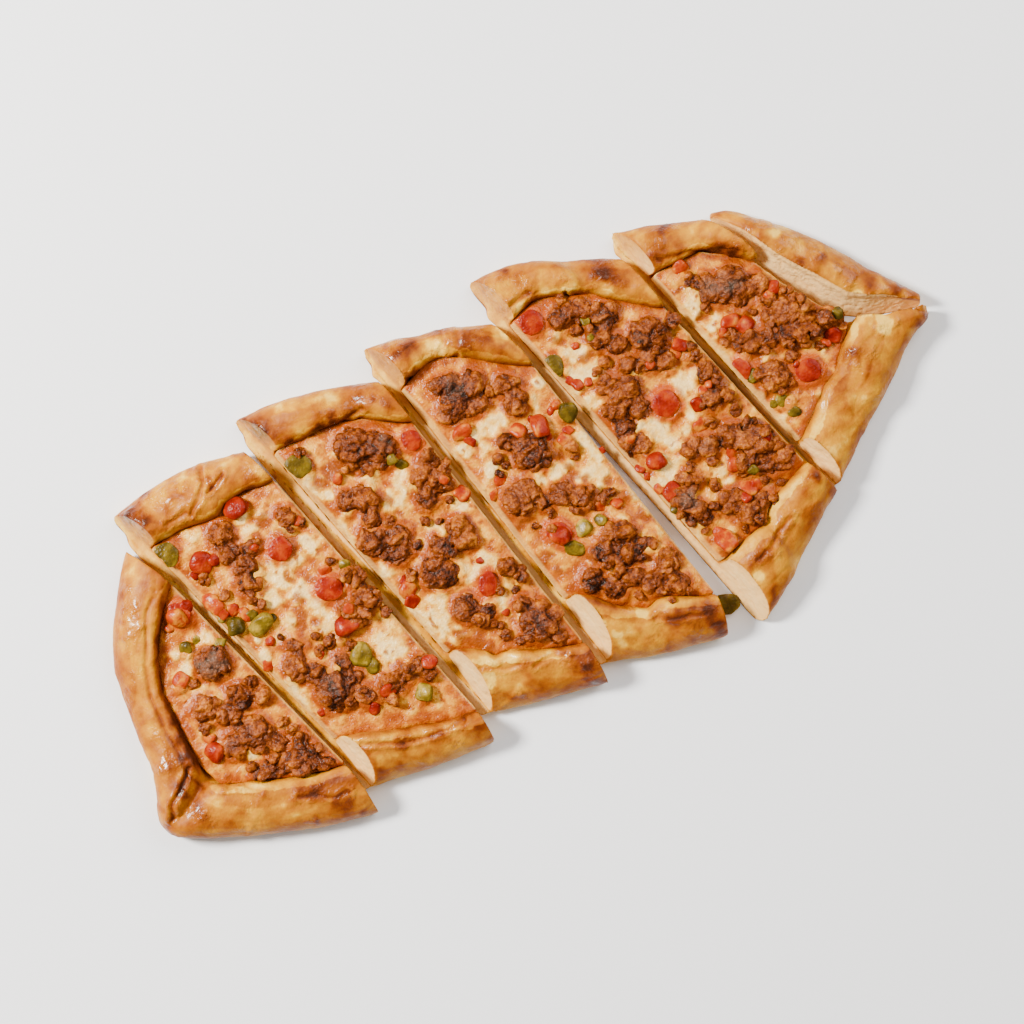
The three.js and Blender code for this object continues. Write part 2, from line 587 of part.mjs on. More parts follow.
// The last slice: the rim's section up to its lip, then the leaning face of the cut.
SLIVER.farCurve = planCurve(SLIVER.far);
SLIVER.nearCurve = planCurve(SLIVER.near);
const sliverShares = Array.from({ length: SLIVER.stations }, (_, i) => i / (SLIVER.stations - 1));
const sliverSections = sliverShares.map((u) => {
  const outer = SLIVER.farCurve.getPointAt(u);
  const foot = SLIVER.nearCurve.getPointAt(u);
  const across = foot.clone().sub(outer).normalize();
  return {
    room: outer.distanceTo(foot),
    height: along(SLIVER.height, u),
    place: (s, z) => new THREE.Vector3(outer.x + across.x * s, outer.y + across.y * s, z),
  };
});
const sliverOutlines = sliverSections.map(({ room, height }) => {
  const leaning = LEAN * height * Math.min(1, room / SLIVER.leaningWidth);
  const width = Math.max(room - leaning, room * SLIVER.narrowest);
  const rim = RIM_SECTION.map(([s, z]) => [s * width, z * height]);
  return [...rim, [room, 0]];
});
addNode("dough_7", loft(sliverSections, sliverOutlines), breadFinish());

// The finished pide stands with the middle of its underside on the origin.
const box = new THREE.Box3().setFromObject(pide);
const middle = box.getCenter(new THREE.Vector3());
pide.position.set(-middle.x, -middle.y, -box.min.z);

export default pide;
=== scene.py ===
"""A Turkish pide, cut across into seven slices: the looks, built over its solids. Metres, +Z up."""

import itertools
import math
from types import SimpleNamespace

import bmesh
import bpy
import numpy as np
from mathutils import Euler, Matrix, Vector
from mathutils.bvhtree import BVHTree


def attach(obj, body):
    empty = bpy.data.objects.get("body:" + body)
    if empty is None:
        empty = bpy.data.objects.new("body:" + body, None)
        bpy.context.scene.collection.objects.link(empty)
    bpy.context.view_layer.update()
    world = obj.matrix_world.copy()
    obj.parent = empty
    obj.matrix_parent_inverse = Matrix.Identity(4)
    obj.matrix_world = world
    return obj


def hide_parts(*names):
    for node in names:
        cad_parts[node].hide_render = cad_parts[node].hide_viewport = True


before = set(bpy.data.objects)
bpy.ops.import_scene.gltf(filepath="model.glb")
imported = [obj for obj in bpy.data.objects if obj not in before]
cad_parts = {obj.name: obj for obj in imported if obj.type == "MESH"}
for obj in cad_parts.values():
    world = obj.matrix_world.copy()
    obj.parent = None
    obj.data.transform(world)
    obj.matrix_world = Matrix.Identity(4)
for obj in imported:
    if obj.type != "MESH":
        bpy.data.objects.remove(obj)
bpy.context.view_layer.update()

# ---- The bread ----
# Seven slices of yeast dough, rolled out flat, with the edges folded in over the filling as a rim, glazed
# with egg and baked. The knife has left pale, open crumb on the cut faces under a thin brown skin.

MM = 0.001
CRUST_VOXEL = 0.65 * MM
CHEESE_LEVEL = 8 * MM
FOOT_HEIGHT = 4 * MM
FOOT_REACH = 2 * MM
MEAN_BAKE = 0.33
END_BAKE = 0.37
# Which way each cut of a slice faces, and how closely a face has to look that way to be part of it.
CUT_BEARING = math.radians(6.4)
RIGHT_CUT = Vector((math.cos(CUT_BEARING), math.sin(CUT_BEARING), -0.12))
LEFT_CUT = Vector((-RIGHT_CUT.x, -RIGHT_CUT.y, 0.6))
BREAD_CUTS = {
    "dough_1": [RIGHT_CUT],
    "dough_2": [LEFT_CUT, RIGHT_CUT],
    "dough_3": [LEFT_CUT, RIGHT_CUT],
    "dough_4": [LEFT_CUT, RIGHT_CUT],
    "dough_5": [LEFT_CUT, RIGHT_CUT],
    "dough_6": [LEFT_CUT, Vector((0.86, 0.32, -0.4)), Vector((0.61, 0.73, -0.31))],
    "dough_7": [Vector((-0.88, -0.3, 0.36)), Vector((-0.66, -0.55, 0.5)), Vector((-0.4, -0.8, 0.45))],
}
LEFT_CUT_MATCH = 0.97
CUT_MATCH = 0.92
SKIN, EDGE, CUT = 0, 1, 2
# Places on the rim, as x, y, radius in millimetres and strength: baked brown, and left pale.
BROWNED = [
    (-129.3, 30.3, 1.8, 0.3), (-145.3, -8.1, 2.9, 0.45), (-151.5, -13.3, 2.5, 0.4),
    (-143.8, 1, 2.2, 0.3), (-140.9, 7.7, 1.8, 0.25), (-139.6, -23.3, 1.8, 0.3),
    (-113.1, -44.3, 2.9, 0.35), (-106.5, -50.5, 3.2, 0.5), (-120.5, -50, 1.4, 0.55),
    (-104.4, -59, 1.8, 0.4), (-131.7, 54.6, 1.8, 0.4), (-164.8, -23, 2.5, 0.35),
    (-145.3, -19.4, 2.2, 0.3), (-137.2, 47.9, 1.4, 0.3), (-140.2, -33, 2.2, 0.25),
    (-129.5, -35.1, 3.2, 0.15), (-121.5, 51.1, 2.2, 0.15), (-107.7, -55.4, 2.2, 0.3),
    (-147.5, 25.4, 1.8, 0.2), (-149.6, -21.3, 2.2, 0.3), (-112.7, 76.5, 4, 0.75),
    (-109.1, 72.2, 2.2, 0.4), (-81, 69.9, 2.5, 0.6), (-102, 81.3, 2.2, 0.35), (-84.6, 80.6, 1.8, 0.35),
    (-99.4, 73, 3.2, 0.25), (-63.9, 58, 2.2, 0.25), (-65.8, 71.1, 1.8, 0.3), (-118.7, 75.4, 1.8, 0.5),
    (-92.2, 74.5, 2.9, 0.15), (-75.8, 69.3, 2.9, 0.25), (-57.3, 75.8, 3.6, 0.65),
    (-58.3, 79.5, 2.5, 0.3), (-22.3, 66.4, 4.7, 0.5), (-31.8, 62.1, 2.9, 0.5), (-39.4, 63.8, 2.2, 0.4),
    (-51.2, 66.3, 2.5, 0.4), (-17.7, 62.4, 2.9, 0.4), (-38.4, 76.7, 2.9, 0.15), (-61, 81.8, 1.8, 0.5),
    (-12.8, 56.8, 2.2, 0.3), (4.6, 69.3, 3.2, 0.5), (-0.2, 70, 2.5, 0.35), (22.8, 59, 2.5, 0.45),
    (-0.7, 60.3, 2.5, 0.5), (15, 69.1, 1.8, 0.35), (-9, 77.4, 1.8, 0.5), (27.1, 57.7, 2.9, 0.3),
    (30.6, 50.1, 2.9, 0.2), (-2, 75.6, 1.8, 0.2), (76.5, 53.3, 4.7, 0.5), (50.6, 66.4, 2.5, 0.3),
    (51.5, 60.1, 2.2, 0.4), (72.3, 58, 2.9, 0.3), (35.2, 73.1, 1.8, 0.45), (48.4, 72.7, 1.4, 0.3),
    (64, 63.7, 1.8, 0.2), (81.3, 44.4, 2.2, 0.25), (90.7, 42.2, 2.2, 0.2), (104.5, 52.8, 2.2, 0.3),
    (114.6, 37.1, 3.2, 0.4), (120.9, 32.3, 2.9, 0.35), (104.7, 43.5, 2.5, 0.35),
    (88.5, 59.9, 1.4, 0.45), (114.3, 44.7, 2.2, 0.2), (98.3, 50.1, 1.8, 0.2), (125.8, 46.4, 2.2, 0.45),
    (122.9, 45.8, 1.4, 0.4), (144.2, 11, 2.5, 0.4), (153.3, -4.4, 3.2, 0.5), (161.7, -12.4, 3.2, 0.6),
    (163.9, -17.5, 2.9, 0.4), (135.7, 25.2, 2.2, 0.3), (131.4, 31.6, 1.8, 0.3), (148.4, 2.4, 2.9, 0.3),
    (137.7, 15.5, 1.8, 0.4), (137.5, 5.6, 1.8, 0.35), (131.1, 37.5, 1.8, 0.2), (160.7, -26.6, 3.6, 0.5),
    (164.8, -26.3, 2.2, 0.45), (133.6, -22.8, 2.2, 0.35), (121.1, -48.6, 2.2, 0.35),
    (107.5, -52.4, 1.8, 0.3), (151.4, -28, 2.9, 0.25), (124.9, -31.6, 2.5, 0.3),
    (119.9, -36.9, 1.8, 0.3), (134.3, -33.7, 2.9, 0.2), (111.8, -57.5, 1.8, 0.25), (98, -51, 2.5, 0.65),
    (66, -63.9, 2.9, 0.45), (63.5, -75.7, 2.2, 0.4), (101.4, -59.9, 1.8, 0.35),
    (80.1, -61.8, 2.9, 0.25), (65, -71, 1.8, 0.3), (91, -64.9, 2.2, 0.2), (90.2, -53.5, 2.2, 0.3),
    (62.1, -63.8, 1.8, 0.4), (80.4, -70.8, 2.2, 0.15), (14.3, -59.6, 2.2, 0.35),
    (27.3, -65.5, 3.2, 0.4), (39.1, -69.3, 3.2, 0.5), (40, -75.6, 3.2, 0.55), (11.7, -48.2, 2.2, 0.2),
    (24.4, -57, 2.2, 0.3), (35, -63.9, 1.8, 0.35), (16.2, -65.8, 2.2, 0.2), (32, -74.5, 2.2, 0.3),
    (38.9, -79.7, 1.4, 0.4), (-6.6, -60.9, 4.7, 0.65), (-9, -54.9, 2.9, 0.4), (-12.1, -49.8, 2.5, 0.35),
    (-38.4, -49.9, 2.5, 0.3), (-24.4, -48.7, 2.9, 0.25), (-24, -57.6, 2.5, 0.25),
    (-6.8, -67.4, 2.2, 0.4), (-43.6, -38.5, 1.8, 0.25), (-36, -56, 1.8, 0.25), (-75.2, -46.4, 3.2, 0.3),
    (-52, -57.1, 3.6, 0.55), (-52.4, -51.2, 2.2, 0.35), (-90.6, -49.7, 2.2, 0.25),
    (-65.3, -51, 2.9, 0.3), (-93.5, -38.1, 2.2, 0.25), (-50.3, -62.2, 1.8, 0.4),
    (-73.8, -53.9, 2.2, 0.25), (-83.3, -51.7, 1.8, 0.25),
]
PALE = [
    (-122.7, 60.2, 2.9, 0.15), (-150.1, 11, 3.2, 0.2), (-144, -24.6, 2.9, 0.3),
    (-160.3, -5.1, 3.6, 0.2), (-133.2, 37.3, 2.5, 0.1), (-40.8, 73.1, 5.8, 0.18),
    (-32, 70.1, 4.3, 0.15), (-100.2, 75.7, 4.3, 0.12), (9.3, 63.5, 4.3, 0.12), (-126, -44.1, 3.2, 0.2),
    (-89.8, 76.8, 2.5, 0.3), (-72.8, 71.6, 3.2, 0.3), (-63.9, 63.7, 3.2, 0.35),
    (-105.4, 61.8, 3.6, 0.35), (-88.4, 67.5, 2.9, 0.2), (-43.5, 69.3, 3.6, 0.25),
    (-28.5, 72, 2.9, 0.25), (-46.3, 77.8, 3.2, 0.3), (-16.4, 48.4, 3.2, 0.3), (13.3, 62.9, 3.2, 0.25),
    (34.1, 55.1, 3.2, 0.25), (6.8, 63, 2.9, 0.2), (34.4, 46.1, 2.9, 0.25), (64, 54.1, 3.6, 0.3),
    (45.1, 58.4, 3.2, 0.3), (72.8, 48, 3.6, 0.3), (57.6, 60.7, 2.5, 0.2), (94.9, 54.6, 3.2, 0.2),
    (112.6, 42.4, 2.9, 0.15), (122.9, 25.7, 3.2, 0.25), (105.2, 37.9, 2.9, 0.2), (135, 30.5, 2.5, 0.2),
    (140.2, 19, 2.2, 0.2), (146.2, -7, 3.2, 0.35), (148.6, -13, 2.9, 0.4), (148.6, -20, 3.2, 0.35),
    (107.7, -47.7, 3.2, 0.25), (125.8, -36.6, 3.2, 0.15), (62, -69, 3.2, 0.3), (85.1, -60.9, 3.2, 0.2),
    (55.5, -68.9, 3.2, 0.25), (19.4, -54.8, 3.2, 0.25), (7.3, -59.6, 3.2, 0.25), (4.5, -51.1, 2.9, 0.3),
    (-39.3, -44.9, 3.2, 0.25), (-32.5, -54, 3.2, 0.25), (-47.3, -43.8, 3.2, 0.3),
    (-87.1, -44.7, 3.2, 0.3), (-86.3, -56.2, 2.9, 0.2), (-94.4, -33.1, 3.2, 0.3),
]
# Crinkled places where the egg glaze glints, as x, y and radius.
GLAZED = [
    (-127.4, 55.2, 3.6), (-131.2, 49, 4.3), (-134.3, 43.3, 4.7), (-138, 39.8, 3.2), (-149.6, 7.2, 2.9),
    (-152.8, -3.8, 3.6), (-147.9, -4.9, 2.9), (-132.4, 25.8, 1.8), (-151.2, -26.7, 4.3),
    (-154.8, -21.2, 2.2), (-136, -33.2, 2.9), (-134.7, -25, 2.2), (-113.5, -41.8, 2.9),
    (-105.3, -48.8, 2.9), (-112.7, 76.5, 3.2), (-102.6, 77.3, 3.6), (-97.3, 76.7, 2.5),
    (-91.3, 75.2, 2.9), (-99.2, 67.6, 2.2), (-81.1, 70.4, 2.2), (-57.2, 76.6, 3.2), (-31.7, 68.6, 2.2),
    (-23.6, 65.2, 2.9), (-32.3, 63.3, 2.2), (-52.9, 67, 2.2), (-1.6, 71.8, 3.6), (2.3, 71.7, 2.5),
    (22.3, 58.9, 2.5), (-0.9, 61.3, 2.5), (11.2, 59.9, 2.2), (10.7, 65.5, 2.2), (46, 69.2, 3.6),
    (50.6, 66.4, 2.9), (40.9, 71.3, 2.2), (50.9, 60.5, 2.2), (75.3, 52.8, 3.2), (64.9, 58.7, 2.5),
    (46.5, 63.6, 2.2), (98.5, 50.4, 2.9), (106.8, 40.3, 2.2), (114.6, 35.8, 2.2), (121.1, 32.6, 2.2),
    (126.1, 36.6, 2.9), (127.3, 28.8, 3.2), (133.2, 24.7, 2.5), (135.2, 13.7, 2.9), (143, 13.6, 3.2),
    (146, 5.4, 2.9), (148.8, -0.1, 2.9), (155.3, -9.7, 4), (137.8, 25, 2.2), (133.1, -19.8, 2.9),
    (139.4, -26.3, 2.9), (147.5, -21, 2.9), (152.6, -21.9, 2.5), (132, -27.7, 2.2), (121.3, -24.8, 2.2),
    (94.3, -50.6, 2.2), (69.7, -64.2, 2.9), (83.1, -57.3, 2.9), (64, -62.9, 2.2), (76.1, -61.2, 2.2),
    (24.2, -61.7, 2.5), (38.6, -68.1, 1.8), (29.8, -65.1, 1.8), (-13, -54.3, 3.6), (-9.3, -60.4, 2.5),
    (-35.6, -39.6, 1.8), (-31.9, -54.4, 2.2), (-60.7, -50.7, 2.9), (-73.3, -46.8, 2.2),
    (-66.4, -49.4, 2.2), (-87.4, -38.8, 2.2),
]
# Where the left end's rim is folded over as a narrow ridge beside the filling, as x, y and radius.
RIDGED = [(-140, 40, 22), (-148, 15, 22), (-155, -8, 18)]
# Folds in the rim, each as how deep, how brown, and the x and y of its corners in turn.
CREASES = [
    (0.6, 0.3, -81.5, 76.8, -83.9, 71.4, -88.4, 67.5, -93.1, 65.1),
    (0.7, 0.45, -76, 70.8, -79.8, 68.6, -83.8, 67.8),
    (0.4, 0.3, -102.9, 66.6, -98.7, 66.4, -94.1, 66.7),
    (0.7, 0.4, -146, -9.7, -151.2, -13.5, -156.4, -16.6, -161.5, -20.9),
    (0.4, 0.25, 64.2, -63.9, 70.5, -63, 76.5, -59.3, 82.7, -57.9),
    (0.45, 0.28, 128, -21.5, 123.6, -24.6, 117.9, -27.2, 114.2, -29.4),
    (0.25, 0.22, 22.2, -60.3, 31.3, -66.1, 38.2, -68.7),
    (0.45, 0.3, -89.8, -37.2, -78.6, -44.9, -68.9, -48.6, -60.1, -51.1, -55.1, -51.5),
    (0.4, 0.28, -40, 62.9, -33.3, 61.8, -25.8, 61.9, -21.7, 61.7),
    (0.4, 0.28, -4.5, 61.2, 1.4, 59.7, 6.4, 59.3, 12.6, 58.1, 17.8, 58),
    (0.35, 0.3, 95.5, 45.4, 100.9, 43.1, 107, 40.6, 115, 36.4, 121.8, 31.7),
    (0.3, 0.2, 131.6, 19.2, 136.1, 13.1, 137.9, 6.2, 138.1, 2.1),
    (0.3, 0.12, 16.7, 67.9, 15.9, 64.1, 12.9, 62.3), (0.3, 0.12, 21.5, 64.7, 20.6, 60.9),
    (0.45, 0.25, 39.7, 60.8, 45.5, 61.6, 50.9, 61.8), (0.5, 0.3, 62.2, 54, 60.8, 50.2),
    (0.3, 0.2, -137.8, -23.2, -133.2, -26, -129, -30.7),
    (0.35, 0.3, -119.2, -40.5, -112.6, -43.7, -108.1, -48.5, -103.2, -48.9),
    (0.3, 0.2, -39.8, -39.3, -33.9, -43.4, -27.2, -46.3),
    (0.35, 0.25, -22.9, -49.7, -15.9, -50.2, -11.1, -52.2),
]

# Every pattern below is drawn from these, and the last number given to a pattern only sets it apart.
chance = np.random.default_rng(4117)
SLOPES = chance.normal(size=(64, 3))
SLOPES /= np.linalg.norm(SLOPES, axis=1)[:, None]
SEATS = chance.random(size=(1024, 3))


def scramble(cell):
    """A repeatable mix of the whole numbers of each cell."""
    mixed = (cell[:, 0] * 73856093) ^ (cell[:, 1] * 19349663) ^ (cell[:, 2] * 83492791)
    mixed = ((mixed ^ (mixed >> 13)) * 1274126177) & 0x7FFFFFFF
    return mixed ^ (mixed >> 16)


def swells(points, size, seed):
    """Smooth hills and hollows about size across, from about -1 to 1."""
    at = points / size + 13.7 * seed
    cell = np.floor(at).astype(np.int64)
    part = at - cell
    fade = part**3 * (part * (part * 6 - 15) + 10)
    total = np.zeros(len(points))
    for corner in itertools.product((0, 1), repeat=3):
        weight = np.prod(np.where(np.array(corner, bool), fade, 1 - fade), axis=1)
        slope = SLOPES[scramble(cell + np.array(corner)) & 63]
        total += weight * np.einsum("ij,ij->i", slope, part - np.array(corner))
    return 1.7 * total


def cells(points, size, seed):
    """Of scattered seats, how far the nearest is in sizes, how much further the next, and its number."""
    at = points / size + 7.3 * seed
    cell = np.floor(at).astype(np.int64)
    nearest = np.full(len(points), 9.0)
    second = nearest.copy()
    draw = np.zeros(len(points))
    for step in itertools.product((-1, 0, 1), repeat=3):
        beside = cell + np.array(step)
        seat = scramble(beside) & 1023
        apart = np.linalg.norm(at - beside - SEATS[seat], axis=1)
        draw = np.where(apart < nearest, SEATS[(seat + 1) & 1023, 0], draw)
        second = np.minimum(second, np.maximum(apart, nearest))
        nearest = np.minimum(nearest, apart)
    return nearest, second - nearest, draw


def domes(points, size, width, seed):
    """Round domes on scattered seats, 1 at their tops, 0 from width sizes away."""
    return np.clip(1 - cells(points, size, seed)[0] / width, 0, 1)


def stirred(points, size, reach, seed):
    """The points moved about a little, so that what is laid over them gets ragged outlines."""
    return points + np.stack([swells(points, size, seed + 0.3 * i) for i in range(3)], axis=1) * reach


def ramp(values, start, end):
    """0 below start, 1 above end, smooth between."""
    share = np.clip((values - start) / (end - start), 0, 1)
    return share * share * (3 - 2 * share)


def band(values, width):
    """1 where the values are 0, and fading away on both sides of it."""
    return np.exp(-((values / width) ** 2))


def new_object(name, data):
    made = bpy.data.objects.new(name, data)
    bpy.context.scene.collection.objects.link(made)
    return made


def solid(node):
    """The mesh of one of the part's solids."""
    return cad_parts[node].data


def fine_copy(node, name, voxel):
    """A copy of a solid with small, even faces, as its own object."""
    shell = bmesh.new()
    shell.from_mesh(solid(node))
    bmesh.ops.remove_doubles(shell, verts=shell.verts, dist=0.002 * MM)
    mesh = bpy.data.meshes.new(name)
    shell.to_mesh(mesh)
    shell.free()
    piece = new_object(name, mesh)
    remesh = piece.modifiers.new("even_faces", "REMESH")
    remesh.mode = "VOXEL"
    remesh.voxel_size = voxel
    remesh.use_smooth_shade = True
    graph = bpy.context.evaluated_depsgraph_get()
    even = bpy.data.meshes.new_from_object(piece.evaluated_get(graph))
    piece.modifiers.clear()
    piece.data = even
    bpy.data.meshes.remove(mesh)
    even.name = name
    even.materials.clear()
    return piece


def corners_of(mesh):
    spots = np.empty(len(mesh.vertices) * 3)
    mesh.vertices.foreach_get("co", spots)
    return spots.reshape(-1, 3)


def edges_of(mesh):
    pairs = np.empty(len(mesh.edges) * 2, np.int64)
    mesh.edges.foreach_get("vertices", pairs)
    return pairs.reshape(-1, 2)


def normals_of(mesh):
    ways = np.empty(len(mesh.vertices) * 3)
    mesh.vertex_normals.foreach_get("vector", ways)
    return ways.reshape(-1, 3)


def put_corners(mesh, spots):
    mesh.vertices.foreach_set("co", spots.ravel())
    mesh.update()


def note(mesh, name, values):
    """Keeps a value for each corner of the mesh, for its material."""
    layer = mesh.attributes.new(name, "FLOAT", "POINT")
    layer.data.foreach_set("value", np.asarray(values, np.float32))


def part_along(moves, ways):
    """The part of each move that goes along its own way."""
    return ways * np.einsum("ij,ij->i", moves, ways)[:, None]


def relax(spots, edges, rounds, kind=None, plane=None):
    """Evens a surface out. Corners on a cut keep to its plane, and its outline is evened on its own."""
    kind = np.zeros(len(spots), int) if kind is None else kind
    start = np.concatenate([edges[:, 0], edges[:, 1]])
    end = np.concatenate([edges[:, 1], edges[:, 0]])
    listened = (kind[start] != EDGE) | (kind[end] == EDGE)
    start, end = start[listened], end[listened]
    count = np.maximum(np.bincount(start, minlength=len(spots)), 1)[:, None]
    for _ in range(rounds):
        mean = np.stack([np.bincount(start, spots[end, i], len(spots)) for i in range(3)], axis=1) / count
        move = np.where(count > 1, mean - spots, 0) * 0.5
        if plane is not None:
            move -= part_along(move, plane)
        spots = spots + move
    return spots


def tree_of(meshes, wanted=lambda face: True):
    """One search tree of the wanted faces of several meshes."""
    corners, faces = [], []
    for mesh in meshes:
        start = len(corners)
        corners.extend(corner.co for corner in mesh.vertices)
        faces.extend([start + i for i in face.vertices] for face in mesh.polygons if wanted(face))
    return BVHTree.FromPolygons(corners, faces)


def nearest_all(tree, spots):
    """For each spot the nearest point of a tree: where it is, its face's normal, and how far off."""
    found = [tree.find_nearest(Vector(spot)) for spot in spots]
    where = np.array([hit[0] for hit in found])
    normal = np.array([hit[1] for hit in found])
    apart = np.array([hit[3] for hit in found])
    return where, normal, apart


def in_plan(spots, patches, seed, inner=0.4, outer=1.25):
    """How strongly round patches (x, y, radius, strength), in millimetres, colour each spot."""
    wobble = 1 + 0.4 * swells(spots, 4 * MM, seed) + 0.25 * swells(spots, 1.8 * MM, seed + 0.5)
    spots = stirred(spots, 6 * MM, 2.4 * MM, seed + 0.1)
    total = np.zeros(len(spots))
    for x, y, radius, *strength in patches:
        apart = np.hypot(spots[:, 0] - x * MM, spots[:, 1] - y * MM) * wobble
        share = 1 - ramp(apart, inner * radius * MM, outer * radius * MM)
        total = np.maximum(total, share * (strength[0] if strength else 1))
    return total


def beside_folds(spots):
    """How far each spot is from the nearest fold in plan, in millimetres, with its depth and its tint."""
    place = stirred(spots, 5 * MM, 0.7 * MM, 77)[:, :2] / MM
    off = np.full(len(spots), 9.0)
    deep, tint = np.zeros(len(spots)), np.zeros(len(spots))
    for depth, brown, *line in CREASES:
        corners = np.array(line).reshape(-1, 2)
        for start, end in zip(corners[:-1], corners[1:]):
            along = np.clip((place - start) @ (end - start) / np.dot(end - start, end - start), 0, 1)
            apart = np.linalg.norm(place - start - along[:, None] * (end - start), axis=1)
            nearer = apart < off
            off = np.where(nearer, apart, off)
            deep = np.where(nearer, depth, deep)
            tint = np.where(nearer, brown, tint)
    return off, deep, tint


def cut_test(node):
    """A test for the faces that the knife has left on a slice."""
    ways = [(way.normalized(), LEFT_CUT_MATCH if way is LEFT_CUT else CUT_MATCH) for way in BREAD_CUTS[node]]
    outermost = max(corner.co.dot(RIGHT_CUT) for corner in solid(node).vertices)

    def is_cut(face):
        if all(face.normal.dot(way) <= match for way, match in ways):
            return False
        # The left end's inner wall looks the same way as its cut, but lies further in.
        return face.normal.x < 0.9 or face.center.dot(RIGHT_CUT) > outermost - 10 * MM

    return is_cut


def flatten_cuts(node, spots, edges):
    """Evens the crust out and keeps the cuts flat: the corners, what each lies on, and its cut's plane."""
    is_cut = cut_test(node)
    where, plane, off_cut = nearest_all(tree_of([solid(node)], is_cut), spots)
    _, _, off_skin = nearest_all(tree_of([solid(node)], lambda face: not is_cut(face)), spots)
    kind = np.full(len(spots), SKIN)
    kind[(off_cut < 0.45 * CRUST_VOXEL) & (off_skin > 0.75 * CRUST_VOXEL)] = CUT
    kind[(off_cut < 0.75 * CRUST_VOXEL) & (off_skin <= 0.75 * CRUST_VOXEL)] = EDGE
    plane[kind == SKIN] = 0
    spots -= part_along(spots - where, plane)
    return relax(spots, edges, 34, kind, plane), kind, plane, off_skin


def survey_rim(spots, cheese_node):
    """What lies where on a slice's rim. Shares are from 0 to 1, and distances in millimetres."""
    level = spots * np.array([1, 1, 0]) + np.array([0, 0, CHEESE_LEVEL])
    rim = SimpleNamespace(off_lip=nearest_all(tree_of([solid(cheese_node)]), level)[2] / MM)
    rim.upper = ramp(spots[:, 2], 3 * MM, 8 * MM)
    rim.near_side = 1 - ramp(spots[:, 1], -30 * MM, 0)
    rim.browned = 0.8 * in_plan(spots, BROWNED, 60, 0.0, 1.9) * rim.upper
    # Streaks and fine creases run along the rim, so their patterns are drawn out that way.
    rim.across = np.stack([spots[:, 0] * 0.3, spots[:, 1] * 0.3, rim.off_lip * MM], axis=1)
    rim.streak = swells(stirred(rim.across, 6 * MM, 1.2 * MM, 66), 3.4 * MM, 64) * rim.upper
    rim.crease = band(swells(stirred(rim.across, 5 * MM, 1.5 * MM, 67), 7 * MM, 65), 0.07) * rim.upper
    # The lip is the narrow strip beside the filling. It is drawn wider on the near side, whose lip faces the
    # lamp, so its pale band there is partly painted light.
    rim.beyond_lip = rim.off_lip - 2.5 - 1.2 * rim.near_side
    rim.beyond_lip -= 1.2 * swells(spots, 15 * MM, 73) + 0.5 * swells(spots, 4 * MM, 74)
    rim.lip = (1 - ramp(rim.beyond_lip, -0.7, 0.2)) * rim.upper
    rim.off_fold, rim.fold_depth, rim.fold_tint = beside_folds(spots)
    rim.fold = band(rim.off_fold, 0.75) * rim.upper
    rim.shoulder = band(rim.off_fold - 1.7, 0.9) * rim.upper
    rim.ridged = in_plan(spots, RIDGED, 61, 0.7, 1.1)
    groove_at = 4.4 + 0.9 * swells(spots, 11 * MM, 3)
    rim.groove = band(rim.off_lip - groove_at, 0.8) * rim.ridged * rim.upper
    rim.roll = band(rim.off_lip - 1.8, 1.5) * rim.upper
    # The skin is crinkled in places, with small blisters there.
    crinkled = ramp(swells(spots, 10 * MM, 6) + rim.browned, 0.25, 0.7) * 0.6
    crinkled = np.maximum(crinkled, in_plan(spots, GLAZED, 76, 0.3, 1.3))
    rim.crinkled = np.maximum(crinkled, 0.7 * rim.shoulder) * rim.upper
    rim.warped = stirred(spots, 3.5 * MM, 1.4 * MM, 63)
    rim.blister = domes(rim.warped, 4.6 * MM, 0.6, 5) ** 1.3 * rim.crinkled
    rim.swelling = band(swells(rim.warped * np.array([0.6, 1, 0.5]), 15 * MM, 19), 0.13) * rim.upper
    return rim


def crust_relief(spots, rim):
    """How far the crust stands out, in millimetres."""
    relief = 0.55 * swells(spots, 17 * MM, 8) + 0.3 * swells(spots, 7 * MM, 7) + 0.3 * rim.swelling
    relief += 0.12 * rim.streak - 0.16 * rim.crease + 0.12 * rim.lip
    relief += rim.fold_depth * (0.5 * rim.shoulder - 1.2 * rim.fold)
    relief += (0.08 + 0.14 * rim.crinkled) * swells(spots, 2.4 * MM, 9)
    relief += 0.16 * rim.crinkled * swells(spots, 1.5 * MM, 10)
    relief += (0.1 + 0.3 * rim.ridged) * rim.roll - 0.9 * rim.groove
    return relief + 0.4 * rim.blister + 0.35 * rim.browned


def crumb_relief(spots, off_skin):
    """How far the open crumb stands out, in millimetres, and where its pores and slits are."""
    pore = domes(spots * np.array([1, 0.7, 2.2]), 2.4 * MM, 0.5, 12)
    slit = band(swells(spots * np.array([1, 0.35, 1.6]), 5 * MM, 18), 0.07)
    relief = 0.1 * swells(spots, 1.2 * MM, 13) + 0.2 * swells(spots, 6 * MM, 14) - 0.4 * pore - 0.35 * slit
    return relief * ramp(off_skin, 0.3 * MM, 1.2 * MM), np.maximum(pore, slit)


def spread_foot(spots, kind, plane, neighbour):
    """Spreads the foot of the left cut a little, towards the slice beside it."""
    low = np.flatnonzero((kind != SKIN) & (spots[:, 2] < FOOT_HEIGHT) & (plane[:, 0] < -0.5))
    _, _, apart = nearest_all(tree_of([solid(neighbour)]), spots[low])
    reach = np.clip(0.6 * apart - 0.2 * MM, 0, FOOT_REACH) * (1 - ramp(apart, 3.5 * MM, 7 * MM))
    reach *= 1 - ramp(spots[low, 2], 0.5 * MM, FOOT_HEIGHT)
    spots[low] += plane[low] * reach[:, None]


